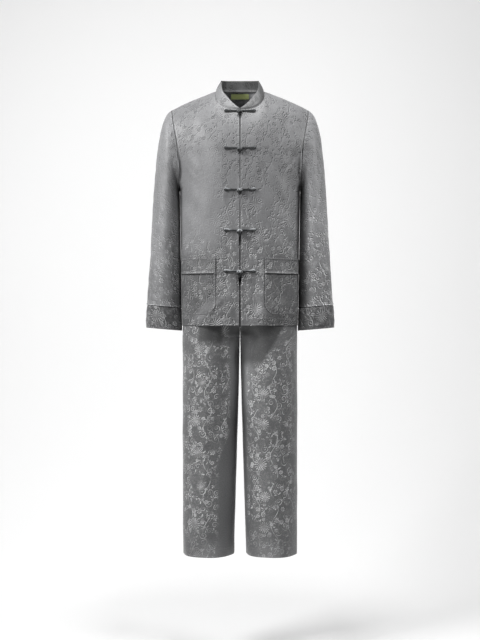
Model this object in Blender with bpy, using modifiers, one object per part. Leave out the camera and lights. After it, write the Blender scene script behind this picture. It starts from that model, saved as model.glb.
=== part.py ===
"""Pyjama set with a stand collar: jacket and trousers filled out as worn.

Metres, +Z up, the front faces -Y, the wearer's left is +X.
The origin is the centre of the neck, level with the side neck points.
Every panel is an open surface worked out from the tables below and thickened inwards.
"""
import math

import bpy
import numpy as np

# walls and seam gaps
WALL = 0.0016            # cloth wall
PATCH_WALL = 0.0014      # pockets, their bands and the label
COLLAR_WALL = 0.0024     # the stand is two layers and an interlining
GAP = 0.0003             # between pieces that are sewn together
LAY = 0.0007             # between a panel and what lies on it
LABEL_OFF = 0.0018       # the label hangs off the curve of the nape
SEAM_SETBACK = 0.0004    # each side of a shoulder, side or leg seam
ARMHOLE_GAP = 0.0011     # along the bend where the sleeve is set in

# jacket
HEM_Z = -0.748
ARMPIT_Z = -0.3136
TIP_X, TIP_Z = 0.2175, -0.0592        # shoulder tip
NECK_HALF = 0.078                     # half width of the neckline
NECK_DROP, NECK_BACK = 0.071, 0.011   # neckline below and above the side neck points
NECK_SQUARE = 2.7                     # squareness of the front neckline
SHOULDER_ARCH = 0.0030                # rise of the shoulder line over a straight one
BACK_CROWN = 0.040                    # rise of the back surface over the nape
ROUND_Z = -0.200                      # from here the panels round over the shoulder
ROUND_POWER = 1.8
SQUARE = 2.4                          # squareness of the torso's section
ARMHOLE_FRONT, ARMHOLE_BACK = 0.074, 0.080
ARMHOLE_ROUND = 0.100                 # height of the rounded foot of the armhole
CHEST_BLEND = 0.180                   # the section opens towards the armhole over this height
CUFF_Z_OUT, CUFF_Z_IN = -0.6826, -0.6920
COLLAR_CENTRE_Y = -0.012

# torso sections: above the armpit the half width is the armhole's
TORSO = (
    ("height", "half_width", "front", "back"),
    (-0.7480, 0.1842, 0.117, 0.124),
    (-0.6600, 0.1862, 0.119, 0.125),
    (-0.5000, 0.1886, 0.122, 0.126),
    (-0.3500, 0.1912, 0.125, 0.130),
    (-0.2500, 0.1925, 0.125, 0.133),
    (-0.1800, 0.1975, 0.123, 0.133),
    (-0.1200, 0.2085, 0.120, 0.131),
    (-0.0800, 0.2150, 0.118, 0.129),
    (-0.0592, 0.2175, 0.117, 0.128),
    (0.0600, 0.2175, 0.114, 0.126),
)

# sleeve sections, each between its outermost and its innermost point
SLEEVE = (
    ("row", "outer_x", "outer_z", "inner_x", "inner_z", "half_depth", "centre_y", "oval"),
    (0, 0.2175, -0.0592, 0.1926, -0.3136, 0.0760, 0.003, 0.0),
    (1, 0.2352, -0.0760, 0.1955, -0.3205, 0.0775, 0.003, 0.3),
    (2, 0.2478, -0.1060, 0.1958, -0.3270, 0.0780, 0.003, 0.7),
    (3, 0.2590, -0.1580, 0.1954, -0.3360, 0.0775, 0.003, 1.0),
    (4, 0.2680, -0.2300, 0.1950, -0.3500, 0.0760, 0.002, 1.0),
    (5, 0.2745, -0.3100, 0.1945, -0.3780, 0.0735, 0.001, 1.0),
    (6, 0.2802, -0.4000, 0.1936, -0.4300, 0.0700, 0.000, 1.0),
    (7, 0.2850, -0.5000, 0.1923, -0.5140, 0.0650, -0.001, 1.0),
    (8, 0.2914, -0.6000, 0.1908, -0.6080, 0.0590, -0.002, 1.0),
    (9, 0.2972, -0.6826, 0.1896, -0.6920, 0.0540, -0.003, 1.0),
)
CUFF = (
    ("row", "outer_x", "outer_z", "inner_x", "inner_z", "half_depth", "centre_y"),
    (0, 0.2976, -0.6832, 0.1894, -0.6926, 0.0545, -0.003),
    (1, 0.2994, -0.7180, 0.1882, -0.7275, 0.0525, -0.003),
    (2, 0.3010, -0.7535, 0.1872, -0.7635, 0.0505, -0.003),
)

# stand collar, from the nape (0 degrees) to the centre front (180)
COLLAR = (
    ("angle", "rise", "lean", "seat"),
    (0.0, 0.0345, 14.0, 0.0007),
    (50.0, 0.0355, 20.0, 0.0007),
    (90.0, 0.0380, 30.0, 0.0010),
    (115.0, 0.0400, 33.0, 0.0026),
    (134.0, 0.0415, 32.0, 0.0022),
    (150.0, 0.0335, 29.0, 0.0018),
    (162.0, 0.0230, 25.0, 0.0016),
    (172.0, 0.0125, 22.0, 0.0015),
    (180.0, 0.0050, 20.0, 0.0015),
)

# trousers: one leg, the other is its mirror image
TROUSER_HEM_Z, CROTCH_Z, WAIST_Z = -1.474, -0.783, -0.490
CROTCH_ROUND = 0.090
LEG = (
    ("height", "inner_x", "outer_x", "front", "back"),
    (-1.4740, 0.0194, 0.1818, 0.080, 0.083),
    (-1.3800, 0.0166, 0.1824, 0.081, 0.085),
    (-1.1460, 0.0094, 0.1830, 0.086, 0.090),
    (-0.9500, 0.0040, 0.1830, 0.093, 0.098),
    (-0.8300, 0.0014, 0.1828, 0.098, 0.103),
    (-0.7830, 0.0006, 0.1826, 0.097, 0.101),
    (-0.7480, 0.0003, 0.1820, 0.095, 0.099),
    (-0.6600, 0.0003, 0.1735, 0.094, 0.098),
    (-0.5600, 0.0003, 0.1620, 0.092, 0.097),
    (-0.4900, 0.0003, 0.1520, 0.090, 0.095),
)
WAISTBAND_TOP, WAISTBAND_HALF, WAISTBAND_FRONT, WAISTBAND_BACK = -0.452, 0.150, 0.0885, 0.0935

# the largest folds: place across the piece, slant, height, half size and depth
TORSO_FOLDS = (
    ("face", "x", "z", "slant", "half_width", "half_height", "depth"),
    (-1, 0.120, -0.170, 0.35, 0.020, 0.090, -0.0030),
    (-1, -0.125, -0.180, -0.35, 0.020, 0.090, -0.0030),
    (-1, 0.095, -0.420, 0.10, 0.026, 0.160, 0.0028),
    (-1, -0.100, -0.430, -0.08, 0.028, 0.170, 0.0026),
    (-1, 0.045, -0.650, -0.05, 0.016, 0.080, -0.0024),
    (-1, -0.050, -0.640, 0.10, 0.018, 0.085, -0.0026),
    (1, 0.085, -0.330, 0.18, 0.026, 0.200, 0.0030),
    (1, -0.080, -0.350, -0.16, 0.028, 0.200, 0.0030),
    (1, 0.010, -0.610, 0.04, 0.030, 0.110, -0.0028),
)
# around the sleeve and the leg, degrees from the outermost point, the front is negative
SLEEVE_FOLDS = (
    ("angle", "z", "slant", "half_angle", "half_height", "depth"),
    (-62.0, -0.260, 180.0, 22.0, 0.080, -0.0034),
    (-95.0, -0.420, -160.0, 24.0, 0.075, 0.0036),
    (-48.0, -0.500, 220.0, 20.0, 0.060, -0.0032),
    (-80.0, -0.610, 120.0, 22.0, 0.050, 0.0030),
    (75.0, -0.360, 150.0, 24.0, 0.090, -0.0036),
    (60.0, -0.540, -140.0, 22.0, 0.070, 0.0034),
)
LEG_FOLDS = (
    ("angle", "z", "slant", "half_angle", "half_height", "depth"),
    (-60.0, -1.020, 25.0, 20.0, 0.240, 0.0034),
    (-105.0, -1.150, -20.0, 18.0, 0.230, -0.0034),
    (-82.0, -1.300, 15.0, 16.0, 0.130, 0.0028),
    (70.0, -1.050, -25.0, 20.0, 0.260, 0.0036),
    (110.0, -1.180, 20.0, 20.0, 0.220, -0.0034),
)

# what lies on the fronts
FROGS = (
    ("number", "height"),
    (1, -0.0770), (2, -0.1990), (3, -0.3273), (4, -0.4529), (5, -0.5795),
)
FROG_REACH = 0.0475
POCKET_TOP, POCKET_BOTTOM, POCKET_BAND = -0.540, -0.711, 0.048
POCKET_IN, POCKET_OUT = 0.400, 0.982      # shares of the half width
POCKET_CORNER = 0.034
LABEL_HALF, LABEL_TOP, LABEL_BOTTOM = 0.0290, 0.0050, -0.0095

COLOURS = (
    ("name", "red", "green", "blue", "roughness"),
    ("jacket_silk", 0.36, 0.36, 0.37, 0.45),
    ("cuff_silk", 0.16, 0.16, 0.17, 0.45),
    ("trouser_silk", 0.26, 0.26, 0.27, 0.45),
    ("frog_cord", 0.22, 0.22, 0.23, 0.55),
    ("label_cloth", 0.22, 0.25, 0.12, 0.80),
)


def column(table, name):
    """One named column of a table whose first row holds the names."""
    place = table[0].index(name)
    return np.array([row[place] for row in table[1:]], dtype=float)


def smooth(table, name, at):
    """Smooth curve through a column, read at values of the table's first column."""
    knots, values = column(table, table[0][0]), column(table, name)
    slopes = np.gradient(values, knots)
    at = np.clip(np.asarray(at, dtype=float), knots[0], knots[-1])
    low = np.clip(np.searchsorted(knots, at, side="right") - 1, 0, len(knots) - 2)
    step = knots[low + 1] - knots[low]
    t = (at - knots[low]) / step
    return (values[low] * (1 + 2 * t) * (1 - t) ** 2 + slopes[low] * step * t * (1 - t) ** 2
            + values[low + 1] * t * t * (3 - 2 * t) + slopes[low + 1] * step * t * t * (t - 1))


def bump(value, centre, half):
    """A soft hill of height one around the centre."""
    return np.exp(-((value - centre) / half) ** 2)


def shoulder_top(x, face):
    """Height of the shoulder line over x, with the nape's crown on the back."""
    slope = TIP_Z / (TIP_X - NECK_HALF)
    inside = np.clip(np.abs(x) / NECK_HALF, 0, 1)
    crown = BACK_CROWN * (1 - inside ** 2) if face > 0 else 0.0
    along = np.clip((np.abs(x) - NECK_HALF) / (TIP_X - NECK_HALF), 0, 1)
    return slope * np.clip(np.abs(x) - NECK_HALF, 0, None) + crown \
        + SHOULDER_ARCH * np.sin(math.pi * along)


def neckline(x, face):
    """Height of the neckline over x: an arc below the neck points, or above at the nape."""
    power = 2 if face > 0 else NECK_SQUARE
    arc = np.clip(1 - np.abs(x / NECK_HALF) ** power, 0, 1) ** (1 / power)
    return (NECK_BACK if face > 0 else -NECK_DROP) * arc


def torso_base(turn, z, face):
    """Torso surface: turn is 0 at the centre and a quarter turn at the side or armhole."""
    half = smooth(TORSO, "half_width", z)
    depth = smooth(TORSO, "back" if face > 0 else "front", z)
    rise = np.clip((z - ARMPIT_Z) / ARMHOLE_ROUND, 0, 1)
    calm = np.clip((z - ARMPIT_Z + 0.030) / CHEST_BLEND, 0, 1)
    calm = calm * calm * (3 - 2 * calm)
    full = ARMHOLE_BACK if face > 0 else ARMHOLE_FRONT
    x = half * np.sign(turn) * np.abs(np.sin(turn)) ** (2 / SQUARE)
    level = np.abs(np.cos(turn))
    section = (1 - calm) * depth * level ** (2 / SQUARE) \
        + calm * (full + (depth - full) * level ** 2)
    edge = full * np.sqrt(1 - (1 - rise) ** 2) - calm * full
    section = section + edge * np.abs(np.sin(turn)) ** 14
    top = shoulder_top(x, face)
    share = np.clip((z - ROUND_Z) / np.maximum(top - ROUND_Z, 1e-6), 0, 1)
    over = (1 - share ** ROUND_POWER) ** (1 / ROUND_POWER)
    return np.stack([x, face * section * over, z * np.ones_like(x)], axis=-1)


def torso(turn, z, face, lift=0.0):
    """Torso surface with its folds, moved out along its normal by lift."""
    turn, z = np.broadcast_arrays(np.asarray(turn, float), np.asarray(z, float))
    point = torso_base(turn, z, face)
    back = np.where(turn < 0, -0.02, 0.02)
    across = (point - torso_base(turn - back, z, face)) * np.sign(back)[..., None]
    up = point - torso_base(turn, z - 0.004, face)
    normal = np.cross(across, up) * -face
    normal /= np.maximum(np.linalg.norm(normal, axis=-1, keepdims=True), 1e-12)
    amount = lift + np.zeros_like(z)
    for row in TORSO_FOLDS[1:]:
        side, x, height, slant, half_width, half_height, depth = row
        if side == face:
            line = x + slant * (z - height)
            amount = amount + depth * bump(point[..., 0], line, half_width) \
                * bump(z, height, half_height)
    return point + normal * amount[..., None]


def torso_rows(face):
    """Heights of the torso's rows as shares of the way up, and the turn of its columns."""
    neck = math.asin((NECK_HALF / TIP_X) ** (SQUARE / 2))
    turns = np.concatenate([np.linspace(0, neck, 5), np.linspace(neck, math.pi / 2, 11)[1:]])
    x_top = TIP_X * np.sin(turns) ** (2 / SQUARE)
    top = np.where(x_top < NECK_HALF - 1e-6, neckline(x_top, face), shoulder_top(x_top, face))
    low = np.linspace(HEM_Z, ARMPIT_Z, 9)[:-1]
    mid = ARMPIT_Z + (ROUND_Z - ARMPIT_Z) * (1 - np.cos(np.linspace(0, math.pi / 2, 6)))
    wave = np.sin(np.linspace(0, math.pi / 2, 9)[1:]) ** (2 / ROUND_POWER)
    rows = [np.full_like(top, z) for z in np.concatenate([low, mid])]
    rows += [ROUND_Z + (top - ROUND_Z) * share for share in wave]
    return turns, np.array(rows)


def armhole(side):
    """Ring of the armhole from the armpit over the front to the tip and down the back."""
    halves = []
    for face in (-1, 1):
        turns, rows = torso_rows(face)
        z = rows[8:, -1]
        halves.append(torso(np.full_like(z, math.pi / 2), z, face))
    ring = np.concatenate([halves[0], halves[1][-2:0:-1]])
    ring[:, 0] *= side
    return ring


def material(name):
    """The piece's plain material in its colour."""
    if name in bpy.data.materials:
        return bpy.data.materials[name]
    row = next(r for r in COLOURS[1:] if r[0] == name)
    made = bpy.data.materials.new(name)
    made.use_nodes = True
    shader = made.node_tree.nodes["Principled BSDF"]
    shader.inputs["Base Color"].default_value = (row[1], row[2], row[3], 1.0)
    shader.inputs["Roughness"].default_value = row[4]
    return made


def add_object(name, data, cloth):
    """Put an object with its material into the set's collection."""
    thing = bpy.data.objects.new(name, data)
    data.materials.append(material(cloth))
    bpy.data.collections["pyjama_set"].objects.link(thing)
    return thing


def panel(name, grid, cloth, closed=False, flip=False, wall=WALL):
    """Open cloth surface from a grid of points, thickened inwards."""
    rows, columns = grid.shape[:2]
    faces = []
    for r in range(rows - 1):
        for c in range(columns if closed else columns - 1):
            d = (c + 1) % columns
            quad = (r * columns + c, r * columns + d,
                    (r + 1) * columns + d, (r + 1) * columns + c)
            faces.append(quad[::-1] if flip else quad)
    mesh = bpy.data.meshes.new(name)
    mesh.from_pydata(grid.reshape(-1, 3).tolist(), [], faces)
    mesh.polygons.foreach_set("use_smooth", [True] * len(faces))
    mesh.update()
    thing = add_object(name, mesh, cloth)
    thick = thing.modifiers.new("wall", "SOLIDIFY")
    thick.thickness = wall
    thick.offset = -1.0
    thick.use_even_offset = True
    return thing


def setback(grid, face, from_side):
    """Pull a panel off its shoulder and side seams, so the walls of its neighbour stay clear."""
    grid = grid.copy()
    grid[..., 1] = face * np.maximum(face * grid[..., 1], SEAM_SETBACK)
    if from_side:
        grid[8:, -1, 0] -= np.sign(grid[8:, -1, 0]) * GAP
    return grid


def make_fronts():
    """Front panels, meeting edge to edge at the centre front."""
    turns, rows = torso_rows(-1)
    for side, name in ((1, "front_left"), (-1, "front_right")):
        grid = setback(torso(np.broadcast_to(turns, rows.shape) * side, rows, -1), -1, True)
        grid[:, 0, 0] = side * GAP / 2
        panel(name, grid, "jacket_silk", flip=side < 0)


def make_back():
    """One back panel across the whole width."""
    turns, rows = torso_rows(1)
    turns = np.concatenate([-turns[:0:-1], turns])
    rows = np.concatenate([rows[:, :0:-1], rows], axis=1)
    grid = setback(torso(np.broadcast_to(turns, rows.shape), rows, 1), 1, True)
    grid[8:, 0, 0] += GAP
    panel("back_panel", grid, "jacket_silk", flip=True)


def section(row, names, share, side):
    """Ring between a section's outermost and innermost point; share is its place on the ring."""
    outer_x, outer_z, inner_x, inner_z = (row[names.index(n)] for n in
                                          ("outer_x", "outer_z", "inner_x", "inner_z"))
    along, across = share
    x = (outer_x + inner_x) / 2 + along * (outer_x - inner_x) / 2
    z = (outer_z + inner_z) / 2 + along * (outer_z - inner_z) / 2
    y = row[names.index("centre_y")] + across * row[names.index("half_depth")]
    return np.stack([side * x, y, z], axis=-1)


def sleeve_folds(grid, along, across, centre):
    """Move the sleeve's or leg's rings in and out along their folds."""
    angle = np.degrees(np.arctan2(across, along))
    amount = np.zeros(grid.shape[:2])
    for row in centre[1:]:
        place, height, slant, half_angle, half_height, depth = row
        line = place + slant * (grid[..., 2] - height)
        amount += depth * bump(angle[None, :], line, half_angle) \
            * bump(grid[..., 2], height, half_height)
    middle = grid.mean(axis=1, keepdims=True)
    out = grid - middle
    out[..., 2] = 0
    out /= np.maximum(np.linalg.norm(out, axis=-1, keepdims=True), 1e-9)
    return grid + out * amount[..., None]


def ring_shares(side):
    """Where each point of the armhole's ring lies between the tip and the armpit."""
    ring = armhole(side)
    middle, half = (TIP_Z + ARMPIT_Z) / 2, (TIP_Z - ARMPIT_Z) / 2
    along = np.clip((ring[:, 2] - middle) / half, -1, 1)
    sign = np.where(np.arange(len(ring)) < (len(ring) + 2) // 2, -1.0, 1.0)
    return ring, along, sign * np.sqrt(1 - along ** 2)


def make_sleeves():
    """Sleeves from the armhole's own ring down to the cuff seam, and the cuffs below."""
    names = SLEEVE[0]
    for side, word in ((1, "left"), (-1, "right")):
        ring, along, across = ring_shares(side)
        first = ring.copy()
        first[:, 0] += side * ARMHOLE_GAP
        profile = (ring[:, 1] - 0.003) / 0.0760
        rows = [first]
        for row in SLEEVE[2:]:
            oval = row[names.index("oval")]
            mixed = (1 - oval) * profile + oval * across
            rows.append(section(row, names, (along, mixed), side))
        grid = sleeve_folds(np.array(rows), along, across, SLEEVE_FOLDS)
        panel("sleeve_" + word, grid, "jacket_silk", closed=True, flip=side < 0)
        cuff = [section(row, CUFF[0], (along, across), side) for row in CUFF[1:]]
        panel("cuff_" + word, np.array(cuff), "cuff_silk", closed=True, flip=side < 0)


def collar_ring(angle):
    """Neckline point and the direction of the stand there, for angles from the nape."""
    wide = np.abs(angle)
    x = NECK_HALF * np.sin(np.radians(angle))
    low = np.where(wide > 90, neckline(x, -1), neckline(x, 1))
    turn = np.sign(x) * np.arcsin(np.clip(np.abs(x) / smooth(TORSO, "half_width", low), 0, 1)
                                  ** (SQUARE / 2))
    base = np.where((wide > 90)[:, None], torso(turn, low, -1), torso(turn, low, 1))
    inward = np.array([0.0, COLLAR_CENTRE_Y, 0.0]) - base
    inward[:, 2] = 0
    inward /= np.linalg.norm(inward, axis=1, keepdims=True)
    lean = np.radians(smooth(COLLAR, "lean", wide))[:, None]
    return base, inward * np.sin(lean) + np.array([0.0, 0.0, 1.0]) * np.cos(lean)


def make_collar():
    """Stand collar that runs down into rounded ends at the centre front."""
    angle = np.concatenate([np.linspace(-178.9, -140, 7), np.linspace(-128, 128, 17),
                            np.linspace(140, 178.9, 7)])
    base, direction = collar_ring(angle)
    rise, seat = (smooth(COLLAR, name, np.abs(angle)) for name in ("rise", "seat"))
    grid = np.array([base + direction * (seat + (rise - seat) * share)[:, None]
                     for share in (0.0, 0.34, 0.68, 1.0)])
    panel("collar_stand", grid, "jacket_silk", flip=True, wall=COLLAR_WALL)


def make_label():
    """Blank label inside the nape, made from the back panel's points moved in."""
    x = np.linspace(-LABEL_HALF, LABEL_HALF, 7)
    z = np.linspace(LABEL_BOTTOM, LABEL_TOP, 4)
    x, z = np.meshgrid(x, z)
    turn = np.sign(x) * np.arcsin((np.abs(x) / smooth(TORSO, "half_width", z)) ** (SQUARE / 2))
    grid = torso(turn, z, 1, lift=-(WALL + LABEL_OFF))
    panel("neck_label", grid, "label_cloth", flip=True, wall=0.0010)


def make_pockets():
    """Patch pockets with rounded lower corners and a wide band, on the fronts' own points."""
    first, last = (math.asin(h ** (SQUARE / 2)) for h in (POCKET_IN, POCKET_OUT))
    corner = 1 + POCKET_CORNER / (POCKET_BOTTOM - POCKET_TOP)
    for side, word in ((1, "left"), (-1, "right")):
        down = np.concatenate([np.linspace(0, corner, 5),
                               corner + (1 - corner) * np.sin(np.radians((22, 45, 67, 90)))])
        bend = np.sqrt(1 - np.clip((down - corner) / (1 - corner), 0, 1) ** 2)
        cut = POCKET_CORNER * (1 - bend) / 0.155 * (last - first)
        turns = np.linspace(first + cut, last - cut, 9).T
        z = (POCKET_TOP + (POCKET_BOTTOM - POCKET_TOP) * down)[:, None] * np.ones((1, 9))
        grid = torso(turns * side, z, -1, lift=PATCH_WALL + LAY)[::-1]
        panel("pocket_" + word, grid, "jacket_silk", flip=side < 0, wall=PATCH_WALL)
        turns = np.linspace(first - 0.004, last + 0.002, 9)[None, :] * np.ones((4, 1))
        z = np.linspace(POCKET_TOP - POCKET_BAND, POCKET_TOP + 0.002, 4)[:, None] \
            * np.ones((1, 9))
        grid = torso(turns * side, z, -1, lift=2 * (PATCH_WALL + LAY))
        panel("pocket_band_" + word, grid, "jacket_silk", flip=side < 0, wall=PATCH_WALL)


def sweep(name, path, radius, cloth):
    """Round cord along a path with a radius at each of its points."""
    data = bpy.data.curves.new(name, "CURVE")
    data.dimensions = "3D"
    data.bevel_depth = 1.0
    data.bevel_resolution = 1
    data.use_fill_caps = True
    line = data.splines.new("POLY")
    line.points.add(len(path) - 1)
    for point, place, size in zip(line.points, path, radius):
        point.co = (*place, 1.0)
        point.radius = size
    line.use_smooth = True
    return add_object(name, data, cloth)


# a frog's knot half: x, height against the strap, distance off the front, radius
KNOT = (
    ("x", "drop", "off", "radius"),
    (0.0480, 0.0000, 0.0031, 0.0022),
    (0.0465, 0.0000, 0.0031, 0.0027),
    (0.0400, 0.0000, 0.0029, 0.0024),
    (0.0250, 0.0000, 0.0028, 0.0023),
    (0.0140, 0.0000, 0.0030, 0.0023),
    (0.0095, -0.0012, 0.0044, 0.0021),
    (0.0062, -0.0030, 0.0068, 0.0023),
    (0.0038, -0.0048, 0.0088, 0.0042),
    (0.0012, -0.0070, 0.0100, 0.0058),
    (-0.0014, -0.0092, 0.0102, 0.0056),
    (-0.0040, -0.0114, 0.0098, 0.0036),
    (-0.0056, -0.0128, 0.0094, 0.0014),
)
# the loop half: a hairpin whose eye lies behind the knot
LOOP = (
    ("x", "drop", "off", "radius"),
    (0.0480, 0.0022, 0.0025, 0.0017),
    (0.0300, 0.0022, 0.0024, 0.0018),
    (0.0120, 0.0022, 0.0024, 0.0018),
    (0.0040, 0.0030, 0.0023, 0.0017),
    (-0.0005, 0.0026, 0.0023, 0.0017),
    (-0.0026, 0.0000, 0.0023, 0.0017),
    (-0.0005, -0.0026, 0.0023, 0.0017),
    (0.0040, -0.0030, 0.0023, 0.0017),
    (0.0120, -0.0022, 0.0024, 0.0018),
    (0.0300, -0.0022, 0.0024, 0.0018),
    (0.0480, -0.0022, 0.0025, 0.0017),
)


def make_frogs():
    """Five frog fastenings: the loop half on the wearer's right, the knot half on the left."""
    for number, height in FROGS[1:]:
        for name, table, side in (("frog_loop_", LOOP, -1), ("frog_knot_", KNOT, 1)):
            x, z = column(table, "x"), height + column(table, "drop")
            half = smooth(TORSO, "half_width", z)
            turn = np.sign(x) * np.arcsin((np.abs(x) / half) ** (SQUARE / 2)) * side
            off = column(table, "off") - 0.0001
            path = torso(turn, z, -1)
            path[:, 1] -= off
            sweep(name + str(number), path.tolist(), column(table, "radius"), "frog_cord")


def leg(turn, z, face):
    """Leg surface: turn runs from the inner seam (0) round to the outer seam (half a turn)."""
    inner, outer = smooth(LEG, "inner_x", z), smooth(LEG, "outer_x", z)
    depth = smooth(LEG, "back" if face > 0 else "front", z)
    rise = np.clip((z - CROTCH_Z) / CROTCH_ROUND, 0, 1)
    seam = np.sqrt(1 - (1 - rise) ** 2)
    wave = np.abs(np.sin(turn))
    inside = np.sqrt(seam ** 2 + (1 - seam ** 2) * wave ** 2)
    x = inner + (outer - inner) * (1 - np.cos(turn)) / 2
    return np.stack([x, face * depth * np.where(turn < math.pi / 2, inside, wave), z], axis=-1)


def make_trousers():
    """Trouser panels, two to a leg, and the elastic waistband."""
    turns = np.linspace(0, math.pi, 13)
    low = np.linspace(TROUSER_HEM_Z, CROTCH_Z, 13)[:-1]
    mid = CROTCH_Z + CROTCH_ROUND * (1 - np.cos(np.linspace(0, math.pi / 2, 6)))
    high = np.linspace(CROTCH_Z + CROTCH_ROUND, WAIST_Z, 5)[1:]
    heights = np.concatenate([low, mid, high])
    turn, z = np.meshgrid(turns, heights)
    for face, part in ((-1, "front"), (1, "back")):
        base = leg(turn, z, face)
        along, across = -np.cos(turns), face * np.sin(turns)
        middle = base.copy()
        middle[..., 0] = ((smooth(LEG, "inner_x", z) + smooth(LEG, "outer_x", z)) / 2)
        middle[..., 1] = 0
        out = base - middle
        out /= np.maximum(np.linalg.norm(out, axis=-1, keepdims=True), 1e-9)
        angle = np.degrees(np.arctan2(across, along))[None, :]
        amount = np.zeros_like(z)
        for row in LEG_FOLDS[1:]:
            place, height, slant, half_angle, half_height, depth = row
            amount += depth * bump(angle, place + slant * (z - height), half_angle) \
                * bump(z, height, half_height)
        grid = base + out * amount[..., None]
        grid[..., 1] = face * np.maximum(face * grid[..., 1], SEAM_SETBACK)
        for side, word in ((1, "left"), (-1, "right")):
            turned = grid * np.array([side, 1, 1])
            panel("trouser_%s_%s" % (part, word), turned, "trouser_silk",
                  flip=(side < 0) != (face > 0))
    around = np.linspace(0, 2 * math.pi, 36, endpoint=False)
    rings = []
    for z in np.linspace(WAIST_Z + GAP, WAISTBAND_TOP, 3):
        x = WAISTBAND_HALF * np.sign(np.sin(around)) * np.abs(np.sin(around)) ** 0.86
        depth = np.where(np.cos(around) > 0, WAISTBAND_FRONT, WAISTBAND_BACK)
        y = -depth * np.sign(np.cos(around)) * np.abs(np.cos(around)) ** 0.86
        rings.append(np.stack([x, y, np.full_like(x, z)], axis=-1))
    panel("waistband", np.array(rings), "trouser_silk", closed=True, wall=0.0024)


def main():
    """Clear the file and make every piece of the set."""
    for thing in list(bpy.data.objects):
        bpy.data.objects.remove(thing, do_unlink=True)
    if "pyjama_set" not in bpy.data.collections:
        made = bpy.data.collections.new("pyjama_set")
        bpy.context.scene.collection.children.link(made)
    make_fronts()
    make_back()
    make_sleeves()
    make_collar()
    make_label()
    make_pockets()
    make_frogs()
    make_trousers()


main()
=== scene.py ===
"""Looks of a silk pyjama set, filled out as worn: a stand-collar jacket with knotted frogs
over straight trousers. Metres, +Z up, the front faces -Y, the wearer's left is +X.
Every cloth piece is a thin closed shell worked out with numpy on the form of its solid."""
import math

import bpy
import numpy as np
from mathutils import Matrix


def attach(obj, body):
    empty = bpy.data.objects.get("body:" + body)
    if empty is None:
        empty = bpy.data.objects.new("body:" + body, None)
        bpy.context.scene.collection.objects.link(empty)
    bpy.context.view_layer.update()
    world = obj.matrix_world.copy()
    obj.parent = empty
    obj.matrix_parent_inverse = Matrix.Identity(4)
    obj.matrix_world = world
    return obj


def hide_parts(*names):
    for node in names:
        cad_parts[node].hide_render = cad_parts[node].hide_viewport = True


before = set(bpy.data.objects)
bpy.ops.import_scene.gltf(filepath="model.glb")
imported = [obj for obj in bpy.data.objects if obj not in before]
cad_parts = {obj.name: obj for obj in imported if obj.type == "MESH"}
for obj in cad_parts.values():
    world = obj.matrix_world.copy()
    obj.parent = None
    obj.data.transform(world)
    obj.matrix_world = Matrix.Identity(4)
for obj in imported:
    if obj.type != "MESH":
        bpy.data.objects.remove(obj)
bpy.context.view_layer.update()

bl_info = {
    "name": "Silk pyjama set",
    "version": (1, 0, 0),
    "blender": (4, 5, 0),
    "location": "View3D > Sidebar > Pyjamas",
    "description": "Builds a stand-collar silk pyjama jacket and trousers",
    "category": "Object",
}

# form of the set
HEM_Z, ARMPIT_Z, ROUND_Z = -0.748, -0.3136, -0.200
TIP_X, TIP_Z = 0.2175, -0.0592
NECK_HALF, NECK_DROP, NECK_BACK, NECK_SQUARE = 0.078, 0.071, 0.011, 2.7
SHOULDER_ARCH, BACK_CROWN, ROUND_POWER, SQUARE = 0.0030, 0.040, 1.8, 2.4
ARMHOLE_FRONT, ARMHOLE_BACK, ARMHOLE_ROUND, CHEST_BLEND = 0.074, 0.080, 0.100, 0.180
COLLAR_CENTRE_Y, COLLAR_TURN = -0.012, 178.9
TROUSER_HEM_Z, CROTCH_Z, CROTCH_ROUND = -1.474, -0.783, 0.090
WAIST_Z, WAISTBAND_TOP, WAISTBAND = -0.490, -0.452, 0.0022
FROG_HEIGHTS, FROG_REACH = (-0.0770, -0.1990, -0.3273, -0.4529, -0.5795), 0.0464
POCKET_TOP, POCKET_BOTTOM, POCKET_BAND, POCKET_CORNER = -0.540, -0.711, 0.0448, 0.034
POCKET_IN, POCKET_OUT, POCKET_WIDTH = 0.400, 0.982, 0.155
LABEL_HALF, LABEL_TOP, LABEL_BOTTOM, LABEL = 0.0290, 0.0050, -0.0095, 0.0008
EDGE = 0.0006            # rows and columns get finer over this from a free edge
APART = 0.00015          # from a seam's plane to each side's cloth
STEP_TURN, STEP_Z = 0.02, 0.004         # steps back for the torso's normals
SIDE_POWER = 40          # keeps the folds off the side seams and armholes
HEM_STITCHES, LEG_STITCHES, PATCH_STITCHES = 0.022, 0.026, 0.0024
BAND_FOLD = 0.0075       # from a pocket band's lower edge to its line of stitches
BINDING = 0.0021         # pitch of the binding round the cord
BIG_WIDTH, BIG_HEIGHT, BIG_DROP = 0.118, 0.1083, 0.4    # cells of the big blossoms
FLOOR_Z = -1.80
CAMERA_AWAY, CAMERA_Z, PIXEL = 3.5, -0.7296, 0.0032
HALF_PICTURE = 320       # pixels

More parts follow.
